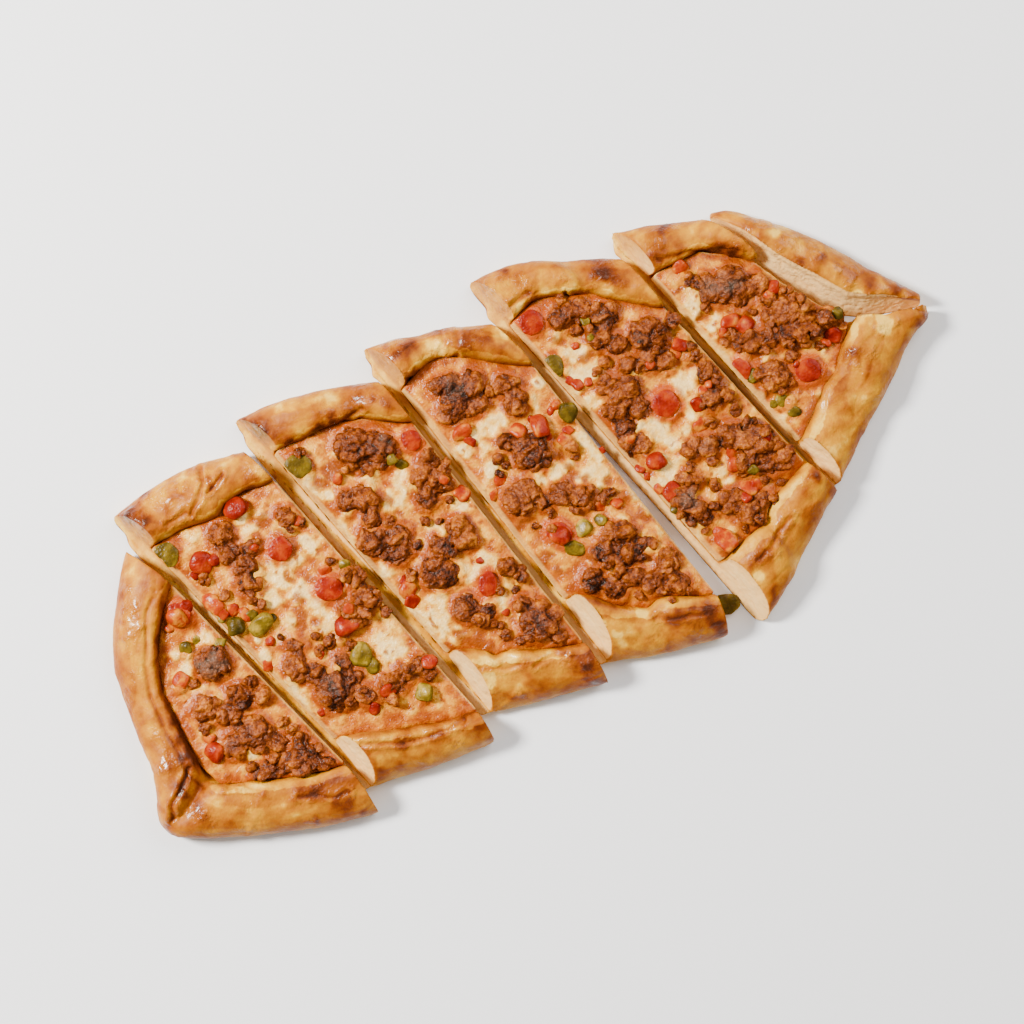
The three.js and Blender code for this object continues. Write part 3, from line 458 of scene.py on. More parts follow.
def bake_and_painted_light_of(spots, rim, relief, kind, mean):
    """How brown the crust is, from 0 to 1: baked brown, with painted shade on the lip of the far side."""
    height = spots[:, 2]
    bake_and_painted_light = mean + 0.2 * swells(spots, 15 * MM, 15) + 0.17 * swells(rim.warped, 6 * MM, 16)
    bake_and_painted_light += 0.14 * ramp(swells(stirred(rim.across, 4 * MM, 2 * MM, 68), 7 * MM, 69), 0.0, 0.22) * rim.upper
    bake_and_painted_light += 0.05 * swells(spots, 2.5 * MM, 17) + 0.05 * rim.blister + 0.1 * relief * rim.upper
    bake_and_painted_light += rim.browned + 0.3 * rim.groove + 0.04 * rim.swelling + 0.03 * rim.streak + 0.05 * rim.crease
    # It is brown in the corner beside the filling. The lip of the far side, which faces away from the lamp,
    # is darkened as painted shade.
    bake_and_painted_light += 0.3 * (1 - ramp(rim.off_lip, 0.2, 1.7))
    far_lip = rim.lip * (1 - rim.near_side)
    bake_and_painted_light += far_lip * (0.16 * ramp(swells(rim.warped, 8 * MM, 20), 0.0, 0.5) + 0.16)
    # Near the table it is pale, but for the brown skin under the cuts.
    bake_and_painted_light -= 0.2 * (1 - ramp(height, 1 * MM, 7 * MM)) + in_plan(spots, PALE, 62)
    return bake_and_painted_light + 0.9 * (1 - ramp(height, 0.3 * MM, 1.1 * MM)) * (kind != SKIN)


cheese_nodes = [f"cheese_{number}" for number in range(1, 7)]
bread_nodes = [f"dough_{number}" for number in range(1, 8)]

bread_pieces = []
for number, node in enumerate(bread_nodes, start=1):
    bread = fine_copy(node, f"bread_{number}", CRUST_VOXEL)
    mesh = bread.data
    spots, kind, plane, off_skin = flatten_cuts(node, corners_of(mesh), edges_of(mesh))
    put_corners(mesh, spots)
    normals = normals_of(mesh)
    rim = survey_rim(spots, cheese_nodes[min(number, len(cheese_nodes)) - 1])
    relief = crust_relief(spots, rim)
    inner_relief, pores = crumb_relief(spots, off_skin)
    clear_of_table = ramp(spots[:, 2], 0.4 * MM, 3 * MM)
    clear_of_table[normals[:, 2] < -0.5] = 0
    push = np.where(kind == CUT, inner_relief, relief * clear_of_table)[:, None] * MM * normals
    push -= (kind == EDGE)[:, None] * part_along(push, plane)
    spots = spots + push
    if 1 < number < len(bread_nodes):
        spread_foot(spots, kind, plane, bread_nodes[number - 2])
    spots[:, 2] = np.maximum(spots[:, 2], 0)
    put_corners(mesh, spots)
    note(mesh, "bake_and_painted_light", bake_and_painted_light_of(spots, rim, relief, kind, END_BAKE if number == 1 else MEAN_BAKE))
    # At the far ends the cuts have browned a little too.
    open_crumb = ramp(spots[:, 2], 0.3 * MM, 0.9 * MM) * (1 - 0.75 * ramp(spots[:, 1], 40 * MM, 60 * MM))
    note(mesh, "crumb", (kind == CUT) * open_crumb)
    note(mesh, "depth", np.where(kind == SKIN, 0, off_skin / MM))
    note(mesh, "pores", pores)
    note(mesh, "crinkled", rim.crinkled)
    note(mesh, "beyond_lip", np.clip(rim.beyond_lip, -9, 9) + 9 * (1 - rim.upper))
    note(mesh, "off_fold", rim.off_fold)
    note(mesh, "fold_tint", rim.fold_tint * rim.upper)
    note(mesh, "ridged", rim.ridged)
    bread_pieces.append(bread)


def screen(red, green, blue):
    """A colour by its share of red, green and blue, 0 to 255, as the light that it stands for."""
    shares = (red, green, blue)
    return [((share / 255 + 0.055) / 1.055) ** 2.4 if share > 10 else share / 3295 for share in shares]


def blank_material(name):
    material = bpy.data.materials.new(name)
    material.use_nodes = True
    tree = material.node_tree
    return material, tree, tree.nodes["Principled BSDF"]


def add(tree, kind, settings=None, **inputs):
    """A shader node with its settings, and its inputs by name, or i and number, as values or sockets."""
    made = tree.nodes.new(kind)
    for key, value in (settings or {}).items():
        setattr(made, key, value)
    for key, value in inputs.items():
        socket = made.inputs[int(key[1:])] if key[1:].isdigit() else made.inputs[key.replace("_", " ")]
        if isinstance(value, bpy.types.NodeSocket):
            tree.links.new(value, socket)
        else:
            socket.default_value = value
    return made


def measured(tree, name):
    """A value that was kept for each corner of the mesh."""
    return add(tree, "ShaderNodeAttribute", {"attribute_name": name}).outputs["Fac"]


def reckon(tree, operation, first, second=0.0, third=0.0):
    return add(tree, "ShaderNodeMath", {"operation": operation}, i0=first, i1=second, i2=third).outputs[0]


def times(tree, value, factor):
    return reckon(tree, "MULTIPLY", value, factor)


def plus(tree, base, value, weight):
    """A base with so much of another value on top."""
    return reckon(tree, "MULTIPLY_ADD", value, weight, base)


def spread(tree, value, low, high):
    """A value from 0 to 1 carried over to a range."""
    return add(tree, "ShaderNodeMapRange", None, i0=value, To_Min=low, To_Max=high).outputs[0]


def share_past(tree, value, start, end):
    """0 up to start and 1 from end on, or the other way round if end is the lower."""
    smooth = {"interpolation_type": "SMOOTHSTEP"}
    return add(tree, "ShaderNodeMapRange", smooth, i0=value, From_Min=start, From_Max=end).outputs[0]


def colour_ramp(tree, value, stops):
    """A colour by a value, through stops of a place from 0 to 1 and three shares, 0 to 255."""
    made = add(tree, "ShaderNodeValToRGB", None, Fac=value)
    points = made.color_ramp.elements
    while len(points) < len(stops):
        points.new(0.5)
    for point, (place, colour) in zip(points, stops):
        point.position = place
        point.color = [*screen(*colour), 1]
    return made.outputs[0]


def blend_colours(tree, share, first, second):
    """One colour over another by a share. The second may be its three shares, 0 to 255."""
    if isinstance(second, tuple):
        second = (*screen(*second), 1)
    return add(tree, "ShaderNodeMix", {"data_type": "RGBA"}, i0=share, i6=first, i7=second).outputs[2]


def make_mottle_group():
    """Uneven spots and fine grain on the object's own coordinates: a mask and a height."""
    group = bpy.data.node_groups.new("mottle", "ShaderNodeTree")
    group.interface.new_socket("Size", in_out="INPUT", socket_type="NodeSocketFloat")
    for socket in ("Mask", "Grain"):
        group.interface.new_socket(socket, in_out="OUTPUT", socket_type="NodeSocketFloat")
    size = group.nodes.new("NodeGroupInput").outputs["Size"]
    out = group.nodes.new("NodeGroupOutput")
    place = add(group, "ShaderNodeTexCoord").outputs["Object"]
    noise = add(group, "ShaderNodeTexNoise", None, Vector=place, Scale=size, Detail=4.0, Roughness=0.62)
    finer = times(group, size, 4.3)
    grain = add(group, "ShaderNodeTexNoise", None, Vector=place, Scale=finer, Detail=1.0)
    group.links.new(share_past(group, noise.outputs["Fac"], 0.36, 0.66), out.inputs["Mask"])
    group.links.new(grain.outputs["Fac"], out.inputs["Grain"])
    return group


mottle_group = make_mottle_group()


def mottle(tree, size):
    made = add(tree, "ShaderNodeGroup", {"node_tree": mottle_group}, Size=size)
    return made.outputs["Mask"], made.outputs["Grain"]


def under_skin(surface, weight, reach, colour_reach):
    """Lets a little light through the surface."""
    surface.inputs["Subsurface Weight"].default_value = weight
    surface.inputs["Subsurface Scale"].default_value = reach
    surface.inputs["Subsurface Radius"].default_value = colour_reach


def glaze(tree, surface, share):
    """A thin wet film over the surface, in some places more than in others."""
    film = reckon(tree, "MAXIMUM", share, 0.0)
    tree.links.new(film, surface.inputs["Coat Weight"])
    surface.inputs["Coat Roughness"].default_value = 0.14


def emboss(tree, surface, height, strength, depth):
    """Gives the surface a fine relief."""
    bump = add(tree, "ShaderNodeBump", None, Strength=strength, Distance=depth, Height=height)
    tree.links.new(bump.outputs["Normal"], surface.inputs["Normal"])


def make_bread_material():
    material, tree, surface = blank_material("baked_bread")
    patches, grain = mottle(tree, 220.0)
    flecks, fine_grain = mottle(tree, 900.0)
    crinkled = measured(tree, "crinkled")
    open_crumb = measured(tree, "crumb")
    bake_and_painted_light = plus(tree, measured(tree, "bake_and_painted_light"), patches, 0.1)
    bake_and_painted_light = reckon(tree, "SUBTRACT", plus(tree, bake_and_painted_light, flecks, 0.05), 0.075)
    # The lip beside the filling stays pale, and its widening on the near side is painted light. The folds are
    # brown lines.
    beyond_lip = plus(tree, measured(tree, "beyond_lip"), patches, 0.7)
    pale = plus(tree, share_past(tree, beyond_lip, 0.5, 0.0), measured(tree, "ridged"), -0.7)
    bake_and_painted_light = plus(tree, bake_and_painted_light, reckon(tree, "MAXIMUM", pale, 0.0), -0.26)
    off_fold = plus(tree, measured(tree, "off_fold"), patches, 0.8)
    bake_and_painted_light = plus(tree, bake_and_painted_light, share_past(tree, off_fold, 1.5, 0.4), measured(tree, "fold_tint"))
    crust = [
        (0.0, (226, 180, 70)),
        (0.18, (194, 132, 4)),
        (0.38, (168, 102, 0)),
        (0.6, (141, 72, 0)),
        (0.8, (106, 44, 2)),
        (1.0, (64, 24, 5)),
    ]
    inside = [(0.0, (188, 120, 26)), (0.04, (216, 160, 78)), (0.12, (226, 178, 108)), (1.0, (230, 188, 122))]
    crumb = colour_ramp(tree, reckon(tree, "DIVIDE", measured(tree, "depth"), 5.0), inside)
    # The pores and slits are painted darker, as painted shade inside them.
    crumb = blend_colours(tree, times(tree, measured(tree, "pores"), 0.6), crumb, (222, 170, 92))
    colour = blend_colours(tree, open_crumb, colour_ramp(tree, bake_and_painted_light, crust), crumb)
    tree.links.new(colour, surface.inputs["Base Color"])
    rough = plus(tree, spread(tree, patches, 0.38, 0.5), open_crumb, 0.3)
    rough = plus(tree, rough, crinkled, -0.26)
    tree.links.new(rough, surface.inputs["Roughness"])
    surface.inputs["Specular IOR Level"].default_value = 0.12
    glaze(tree, surface, reckon(tree, "MULTIPLY_ADD", crinkled, 0.5, -0.1))
    under_skin(surface, 0.1, 1.5 * MM, (1.0, 0.6, 0.25))
    fine = times(tree, grain, reckon(tree, "ADD", crinkled, 0.4))
    emboss(tree, surface, plus(tree, fine, fine_grain, 0.15), 0.9, 0.45 * MM)
    return material


bread_material = make_bread_material()
for bread, node in zip(bread_pieces, bread_nodes):
    bread.data.materials.append(bread_material)
    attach(bread, "root")
    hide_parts(node)

# ---- The cheese ----
# A thick layer of grated cheese that has melted over the meat and peppers: creamy puffs where it is deep,
# orange fat pooled between them, and brown blisters. It climbs a little up everything that lies in it.

CHEESE_VOXEL = 0.5 * MM
CUT_SIDE_SWELL = 0.42 * MM
# Places on the cheese, as x, y and radius in millimetres: creamy puffs, and toasted spots.
CREAMY = [
    (-124.7, 6.6, 3.2), (-115.4, 25.1, 3.2), (-127.9, -10, 1.6), (-126.1, 28, 1.8), (-126.2, 20.2, 3.2),
    (-124.5, -19.8, 2.3), (-124.3, 4.1, 2.2), (-79.7, 48.4, 2.9), (-68.9, 41.9, 3.6), (-65, 31.7, 4.3),
    (-77.1, 20.5, 4.3), (-81, 27.5, 4.7), (-79.9, 35.5, 3.6), (-73.5, 14.9, 4), (-73.4, 5.7, 4.3),
    (-87.2, 12.2, 3.2), (-100.2, 8, 2.3), (-99, -8.1, 3.6), (-60.7, -12.7, 5.4), (-60.8, -19.2, 4),
    (-82.1, -8.9, 2), (-73.1, 50.4, 2.2), (-98.5, 59.2, 3.2), (-89.5, 24.7, 4.7), (-86.5, 33.5, 3.2),
    (-73.4, 31, 4.3), (-80.6, 53.4, 2.2), (-100.7, 14.9, 1.8), (-63.4, 11.9, 1.8), (-65.3, -16.1, 2.9),
    (-35, 37.2, 3.6), (-23.6, 31.6, 4.3), (-30.7, 27.7, 3.6), (-23.5, 9.6, 2.7), (-30.5, 40.7, 2.5),
    (-13.9, 14, 2.7), (-52.7, 49.5, 4.3), (-50.4, 43.5, 2.5), (-50.6, 30.5, 3.2), (-46.6, 33, 2.3),
    (-22.3, -10.8, 3.2), (-25.7, -6.3, 2.7), (-15.4, -9, 3.6), (-21.5, -22.3, 4), (-37.8, -11.1, 3.2),
    (-44.8, -14.9, 4.7), (-47.9, 9, 2.9), (-14.9, 47.4, 2.7), (-39.2, 53.3, 2.5), (-39.6, -15, 4),
    (-16.1, -30.3, 2), (-28.9, -17.2, 2.2), (-49.9, -22.3, 3.2), (-40, -27, 2.9), (-47.2, -8.9, 2.2),
    (-52.1, 25.1, 1.8), (-21.2, 25.6, 2.5), (14.9, 39.9, 2.5), (12.7, 30.5, 4), (7.3, 29, 3.6),
    (17, 29.7, 2.3), (0.7, 25.7, 2.2), (7.4, 24.6, 2.7), (22.8, 3.9, 3.6), (26.8, 3.4, 2.3),
    (16.3, 4, 2.7), (37.8, 6.7, 4.3), (36.1, -5.3, 3.6), (29.6, -5.2, 2.9), (36.6, -36.2, 4),
    (37.3, -41.5, 2.7), (42.3, -24.8, 2.7), (32.4, -24.5, 2.2), (37.7, 0.2, 2.9), (29.7, 29.7, 3.2),
    (35.7, 32.1, 2.5), (-1.2, 29.2, 2.2), (44, 22, 1.8), (41.5, -17.7, 2.5), (3.6, 17.2, 2.2),
    (54.7, 34.3, 4.3), (49.2, 35.9, 3.2), (52.5, 24.9, 4.3), (48.7, 28.8, 2.7), (78.6, 2.5, 5),
    (83.6, 3.5, 3.6), (82, -2, 2.3), (62, -5.7, 5.4), (64.4, -11.7, 4.3), (57, -6.6, 2.7),
    (56.8, -19.5, 4.3), (61.8, -18.6, 3.6), (50.3, -19.4, 2.3), (57, -31.9, 2.9), (74.4, -35.2, 2.2),
    (72.2, -30.2, 2.5), (44.9, 17, 2.3), (48.9, 16.5, 2.7), (66.1, 15.5, 1.8), (57.1, -0.1, 2.5),
    (51.8, 42.8, 2.5), (75, -5.9, 2.5), (61.2, -57.5, 2.9), (51.4, -46.4, 2.2), (54.5, -41.9, 1.8),
    (98.9, 25.6, 4), (95.2, 23.4, 2.7), (99.7, 14.2, 3.2), (97.6, 4.7, 3.6), (95.3, 8.5, 2.3),
    (93.2, 14.3, 2.9), (102.5, -0.8, 2), (99.3, 29.3, 2.3), (96.6, 0.2, 2), (116.5, -28, 2.9),
    (99.6, -27.2, 2.2), (108.8, -7.4, 1.8), (96.7, -18.7, 1.6),
]
TOASTED = [
    (-92, 21.1, 2.9), (-92.4, 33.2, 2.2), (-77, 26.9, 2.2), (-79.2, 17.5, 2.9), (-79.2, 7.9, 2.5),
    (-88.8, 41.6, 2.9), (-74.1, 48.9, 2.5), (-83.3, 11.6, 3.2), (-71.5, 21, 1.8), (-86.6, 27, 1.8),
    (-72.4, 36.8, 5), (-53.3, -17.8, 2.5), (-33.6, 29.7, 2.2), (-23.3, 22.6, 2.2), (-32.2, 22.2, 2.2),
    (-43.8, 49.8, 3.2), (-49.4, 49.3, 3.2), (-40, -27, 2.9), (-35.6, -30, 3.2), (-32, -28.1, 2.5),
    (-47.5, -28.4, 2.9), (-32.2, -34.6, 2.9), (-36.4, -18.6, 2.2), (-39, 2.9, 2.5), (28.3, 2.3, 2.5),
    (27.7, -1.6, 2.2), (30, -4.6, 2.5), (27.3, 7.3, 1.8), (1.5, -20.7, 3.2), (3.9, -26.7, 1.8),
    (1.2, -5.2, 2.9), (14.8, -29.8, 1.8), (38.4, -17.8, 4.3), (38.8, -26.7, 2.9), (37, -10.3, 2.2),
    (44.3, 6.6, 1.8), (42, -9.3, 2.2), (53.5, -8.5, 2.2), (65.1, -1.2, 2.2), (60.1, 32.7, 2.5),
    (50.8, 41.4, 2.5), (53.5, 19.9, 2.2), (54.1, 30.3, 1.8), (73.2, -24.3, 2.9), (76.8, 12.5, 2.5),
    (70.4, 19.1, 2.9), (61.9, 51.2, 2.5), (58.2, -55.5, 2.9), (65.2, -58.1, 2.5), (96.3, 18.7, 2.5),
    (92.7, 10.3, 2.2), (93, 1.3, 2.5), (114.5, -30.9, 4.3), (108.4, -33.3, 3.2), (122.5, -25.6, 3.2),
    (120.9, -2.6, 2.9), (122.2, -16.6, 2.5),
]

topping_nodes = [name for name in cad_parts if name.startswith(("meat", "red", "green"))]
topping_tree = tree_of([solid(name) for name in topping_nodes])
red_tree = tree_of([solid(name) for name in topping_nodes if name.startswith("red")])
bread_tree = tree_of([solid(name) for name in bread_nodes])
UP = np.array([0, 0, 1])

cheese_pieces = []
for number, node in enumerate(cheese_nodes, start=1):
    cheese = fine_copy(node, f"melted_cheese_{number}", CHEESE_VOXEL)
    mesh = cheese.data
    edges = edges_of(mesh)
    spots = relax(corners_of(mesh), edges, 9)
    put_corners(mesh, spots)
    normals = normals_of(mesh)
    up = ramp(normals[:, 2], 0.3, 0.8)
    _, _, off_topping = nearest_all(topping_tree, spots + UP * 1.2 * MM)
    _, _, off_red = nearest_all(red_tree, spots + UP * 1.2 * MM)
    _, _, off_rim = nearest_all(bread_tree, spots + UP * 2.5 * MM)
    hug = 1 - ramp(off_topping, 0.3 * MM, 2.8 * MM)
    rimward = 1 - ramp(off_rim, 1.5 * MM, 6 * MM)
    toast = in_plan(spots, TOASTED, 31)
    toast = np.maximum(toast, ramp(swells(spots, 4 * MM, 28) + 0.6 * swells(spots, 1.8 * MM, 29), 0.55, 0.9))
    # Beside the rim the cream share drops: browning there, and painted shade from the rim.
    cream = 0.4 + 0.32 * swells(stirred(spots, 4 * MM, 1.2 * MM, 27), 7 * MM, 21)
    cream += 0.16 * swells(spots, 3 * MM, 22)
    cream += 0.62 * in_plan(spots, CREAMY, 32, 0.4, 1.5) - 0.3 * rimward - 0.42 * hug - 0.3 * toast
    cream = np.clip(cream, 0, 1)
    bubble = domes(spots, 3.4 * MM, 0.5, 23) * ramp(swells(spots, 9 * MM, 24), -0.3, 0.4)
    relief = 0.85 * ramp(cream, 0.1, 0.9) + 1.3 * hug + 0.35 * bubble + 0.24 * swells(spots, 3.2 * MM, 25)
    relief += 0.14 * swells(spots, 1.4 * MM, 26) + 0.3 * toast
    side = (1 - up) * ramp(normals[:, 2], -0.8, -0.3)
    push = normals * (side * CUT_SIDE_SWELL)[:, None]
    push[:, 2] += relief * up * MM
    spots = spots + push
    put_corners(mesh, relax(spots, edges, 1))
    note(mesh, "cream", cream)
    note(mesh, "toast", toast)
    note(mesh, "blush", 1 - ramp(off_red, 0.6 * MM, 3.2 * MM))
    # The cut sides show plain pale cheese. The left end has no cut on its left.
    shows_cut = normals[:, 0] > -0.3 if number == 1 else 1
    note(mesh, "side", (1 - up) * (off_rim > 1.2 * MM) * shows_cut)
    cheese_pieces.append(cheese)


def make_cheese_material():
    material, tree, surface = blank_material("melted_cheese")
    patches, grain = mottle(tree, 300.0)
    flecks, fine_grain = mottle(tree, 800.0)
    cream = reckon(tree, "SUBTRACT", plus(tree, measured(tree, "cream"), patches, 0.34), 0.18)
    stops = [
        (0.0, (136, 56, 0)),
        (0.22, (166, 86, 0)),
        (0.42, (194, 118, 4)),
        (0.6, (216, 150, 30)),
        (0.78, (231, 181, 78)),
        (1.0, (240, 205, 128)),
    ]
    colour = colour_ramp(tree, cream, stops)
    # In turn: juice beside the red peppers, toasted spots, small brown flecks and the pale cut sides.
    for share, tint in (
        (times(tree, measured(tree, "blush"), 0.7), (172, 66, 1)),
        (times(tree, measured(tree, "toast"), 0.8), (120, 54, 3)),
        (times(tree, flecks, 0.24), (176, 84, 2)),
        (times(tree, measured(tree, "side"), 0.8), (232, 188, 106)),
    ):
        colour = blend_colours(tree, share, colour, tint)
    tree.links.new(colour, surface.inputs["Base Color"])
    tree.links.new(spread(tree, patches, 0.16, 0.34), surface.inputs["Roughness"])
    surface.inputs["Specular IOR Level"].default_value = 0.24
    under_skin(surface, 0.12, 2 * MM, (1.0, 0.6, 0.3))
    emboss(tree, surface, plus(tree, times(tree, fine_grain, 0.2), grain, 0.8), 0.8, 0.5 * MM)
    return material


cheese_material = make_cheese_material()
for cheese, node in zip(cheese_pieces, cheese_nodes):
    cheese.data.materials.append(cheese_material)
    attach(cheese, "root")
    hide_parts(node)

# ---- The minced meat ----
# Crumbs of browned mince that have stuck together in craggy heaps, greasy on top, with painted shade
# darkening the cracks and some gaps between crumbs, and sunk a little way into the cheese. Some are
# charred, and some still pale or grey.

MEAT_VOXEL = 0.4 * MM
LUMP = 7 * MM
KNOB = 3.1 * MM
GRAIN = 1.1 * MM
SINK = 1.6 * MM
# Places in the meat, as x, y, radius in millimetres and strength: dark, where it is charred and where painted
# shadow falls between crumbs; pale; and grey.
DARK_MEAT = [
    (7.5, 50.7, 5.4, 0.3), (14.8, 46.1, 4.3, 0.25), (6.6, 43.1, 5.4, 0.25), (-87.1, -16.8, 6.5, 0.25),
    (-82.2, -15.3, 3.6, 0.2), (-31.7, -3, 5.8, 0.25), (-15.8, 22.7, 3.6, 0.2), (-26.7, 48.1, 4.3, 0.2),
    (-22.1, 45.8, 3.6, 0.2), (-107.9, -26, 5, 0.25), (-109.9, -33.3, 7.2, 0.25),
    (-115.4, -3.4, 3.2, 0.35), (67.8, 37.5, 3.6, 0.2), (77.4, 24.8, 5.8, 0.25), (88, 24.4, 5, 0.3),
    (29.5, -28.2, 4.3, 0.2), (26.9, -35.6, 6.5, 0.3), (10.9, -36.8, 4.3, 0.25), (38.2, -33.8, 4.3, 0.3),
    (111.8, 22.8, 4.3, 0.2), (-12.2, -37.9, 6.5, 0.25), (101.1, 33.3, 4.3, 0.3), (115.4, -1, 4.3, 0.25),
    (112.2, 16.5, 3.6, 0.2), (51.7, 1.5, 4.3, 0.15), (17.4, 12, 4.3, 0.15), (-49, 61.3, 3.6, 0.3),
    (-88.6, -8.8, 5, 0.2), (-79.7, -11.8, 3.6, 0.35), (-33.7, 8.8, 3.2, 0.3), (-24, 1.3, 2.9, 0.35),
    (-12.5, -21.9, 3.6, 0.3), (13.6, -6.3, 2.9, 0.4), (18.1, -31.3, 3.2, 0.35), (30.4, -38.9, 3.2, 0.3),
    (87.3, -45, 3.6, 0.2), (81.8, -49.8, 4.3, 0.2), (73.2, -52.7, 3.6, 0.15), (86.5, 4.5, 2.9, 0.3),
    (94.3, -12.7, 3.6, 0.2), (77.3, -22.8, 3.6, 0.2), (55.5, -40.5, 3.6, 0.2), (79.4, 19.5, 3.2, 0.25),
    (13, 19.4, 2.9, 0.25),
]
LIGHT_MEAT = [
    (-129.4, 5.4, 5, 0.2), (-110.9, 0.1, 4.3, 0.1), (-109.4, -14.9, 4.3, 0.25),
    (-107.4, -18.9, 3.6, 0.2), (-35.9, 15.6, 4, 0.15), (-38.5, 34, 4.3, 0.15), (7.4, 3.2, 4.7, 0.1),
    (125.7, 2.4, 4.7, 0.25), (119, 4.8, 4, 0.2), (106.7, -12.5, 4, 0.2), (84.1, -27.5, 4.3, 0.1),
    (90.4, -29.6, 4, 0.15), (69.2, -33.3, 4.3, 0.15), (36.9, -45.9, 4.3, 0.12), (-88.7, 35.4, 4.3, 0.1),
    (-65.2, 45.4, 3.6, 0.12), (82.9, -7, 3.6, 0.12), (132.8, -5.6, 4.3, 0.2), (-14.8, 3.2, 4.3, 0.12),
    (-118.6, -23.8, 3.6, 0.2), (-62, 1.3, 3.6, 0.1), (64.4, 32, 3.6, 0.12), (56.3, 11.4, 3.6, 0.12),
    (-87.3, 5.7, 3.6, 0.1), (-93.1, -0.8, 3.6, 0.08),
]
GREY_MEAT = [
    (-117.3, 16.7, 4.7, 0.7), (-122, 18.7, 2.9, 0.6), (105.8, 26.1, 4.3, 0.5), (112.2, 23.4, 4, 0.45),
    (57, -31.9, 3.6, 0.6), (56.8, -34.8, 2.9, 0.5), (68, 39.1, 2.9, 0.2), (10.6, 49, 3.2, 0.3),
    (-86.6, -12.3, 3.2, 0.2), (74.9, 25.6, 2.9, 0.25), (-21.8, 46.9, 3.2, 0.35),
    (71.7, -20.2, 2.9, 0.3), (87.3, -22.2, 2.9, 0.3),
]


def sink_underside(spots, normals):
    """Lets the flat underside of a topping down into the cheese."""
    spots[:, 2] -= SINK * ramp(-normals[:, 2], 0.2, 0.8)
    return spots


def craggy(spots, seed):
    """The relief of minced meat, in millimetres, and how light it is: soft round lumps, grainy all over, with
    painted shade darkening the cracks, nicks and hollows of the grain.
    """
    ragged = stirred(spots, 5 * MM, 1.6 * MM, seed)
    _, crack, draw = cells(ragged, LUMP, seed)
    _, nick, shade = cells(stirred(ragged, 2.2 * MM, 0.6 * MM, seed + 3), KNOB, seed + 1)
    grain = swells(spots, GRAIN, seed + 5)
    body = ramp(crack, -0.12, 0.5)
    knob = ramp(nick, -0.15, 0.6)
    relief = body * (1.5 + 0.8 * (draw - 0.5)) + 0.5 * knob + 0.22 * grain - 1.5
    tone = 0.18 + 0.24 * body + 0.1 * knob + 0.26 * (draw - 0.5) + 0.12 * (shade - 0.5) + 0.1 * grain
    return relief, tone + 0.12 * swells(spots, 8 * MM, seed + 6)


def shade_meat(spots, tone):
    """How light the meat is with its dark places, charred ones and painted shadows between crumbs, and its
    pale ones, and how grey.
    """
    tone = tone - 0.6 * in_plan(spots, DARK_MEAT, 70) + in_plan(spots, LIGHT_MEAT, 71)
    return tone, in_plan(spots, GREY_MEAT, 72)


def make_meat_material():
    material, tree, surface = blank_material("browned_mince")
    patches, grain = mottle(tree, 300.0)
    flecks, fine_grain = mottle(tree, 1000.0)
    tone = plus(tree, measured(tree, "tone"), patches, 0.2)
    tone = reckon(tree, "SUBTRACT", plus(tree, tone, flecks, 0.3), 0.14)
    stops = [
        (0.0, (28, 9, 2)),
        (0.2, (68, 25, 3)),
        (0.42, (104, 44, 4)),
        (0.68, (140, 68, 8)),
        (1.0, (192, 114, 28)),
    ]
    grey = times(tree, measured(tree, "grey"), 0.6)
    colour = blend_colours(tree, grey, colour_ramp(tree, tone, stops), (104, 84, 68))
    tree.links.new(colour, surface.inputs["Base Color"])
    tree.links.new(spread(tree, patches, 0.22, 0.38), surface.inputs["Roughness"])
    surface.inputs["Specular IOR Level"].default_value = 0.19
    emboss(tree, surface, plus(tree, times(tree, fine_grain, 0.25), grain, 0.75), 1.0, 0.6 * MM)
    return material


meat_material = make_meat_material()
mince_pieces = []
for node in [name for name in topping_nodes if name.startswith("meat")]:
    meat = fine_copy(node, node.replace("meat", "mince"), MEAT_VOXEL)
    mesh = meat.data
    spots = relax(corners_of(mesh), edges_of(mesh), 6)
    put_corners(mesh, spots)
    normals = normals_of(mesh)
    relief, tone = craggy(spots, 40)
    above = ramp(normals[:, 2], -0.6, 0.0)
    spots = spots + normals * ((relief + 0.45) * above * MM)[:, None]
    put_corners(mesh, sink_underside(spots, normals))
    tone, grey = shade_meat(spots, tone)
    note(mesh, "tone", tone)
    note(mesh, "grey", grey)
    mesh.materials.append(meat_material)
    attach(meat, "root")
    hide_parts(node)
    mince_pieces.append(meat)

# ---- The peppers ----
# Diced red and green peppers, baked soft and glossy in the cheese's fat, with their tops slumped nearly flat.
# One green piece lies on the table.

PEPPER_VOXEL = 0.4 * MM
CROWN = 2.6 * MM
RED_STOPS = [(0.0, (92, 7, 0)), (0.35, (128, 23, 0)), (0.7, (156, 53, 0)), (1.0, (194, 112, 8))]
GREEN_STOPS = [(0.0, (42, 33, 5)), (0.35, (76, 58, 7)), (0.7, (108, 86, 13)), (1.0, (156, 128, 40))]


def make_pepper_material(name, stops):
    material, tree, surface = blank_material(name)
    patches, grain = mottle(tree, 260.0)
    tone = plus(tree, measured(tree, "tone"), patches, 0.35)
    tree.links.new(colour_ramp(tree, tone, stops), surface.inputs["Base Color"])
    surface.inputs["Roughness"].default_value = 0.3
    surface.inputs["Specular IOR Level"].default_value = 0.1
    glaze(tree, surface, spread(tree, patches, 0.0, 0.16))
    under_skin(surface, 0.1, 1.5 * MM, (1.0, 0.3, 0.1))
    emboss(tree, surface, grain, 0.7, 0.4 * MM)
    return material


red_material = make_pepper_material("red_pepper", RED_STOPS)
green_material = make_pepper_material("green_pepper", GREEN_STOPS)

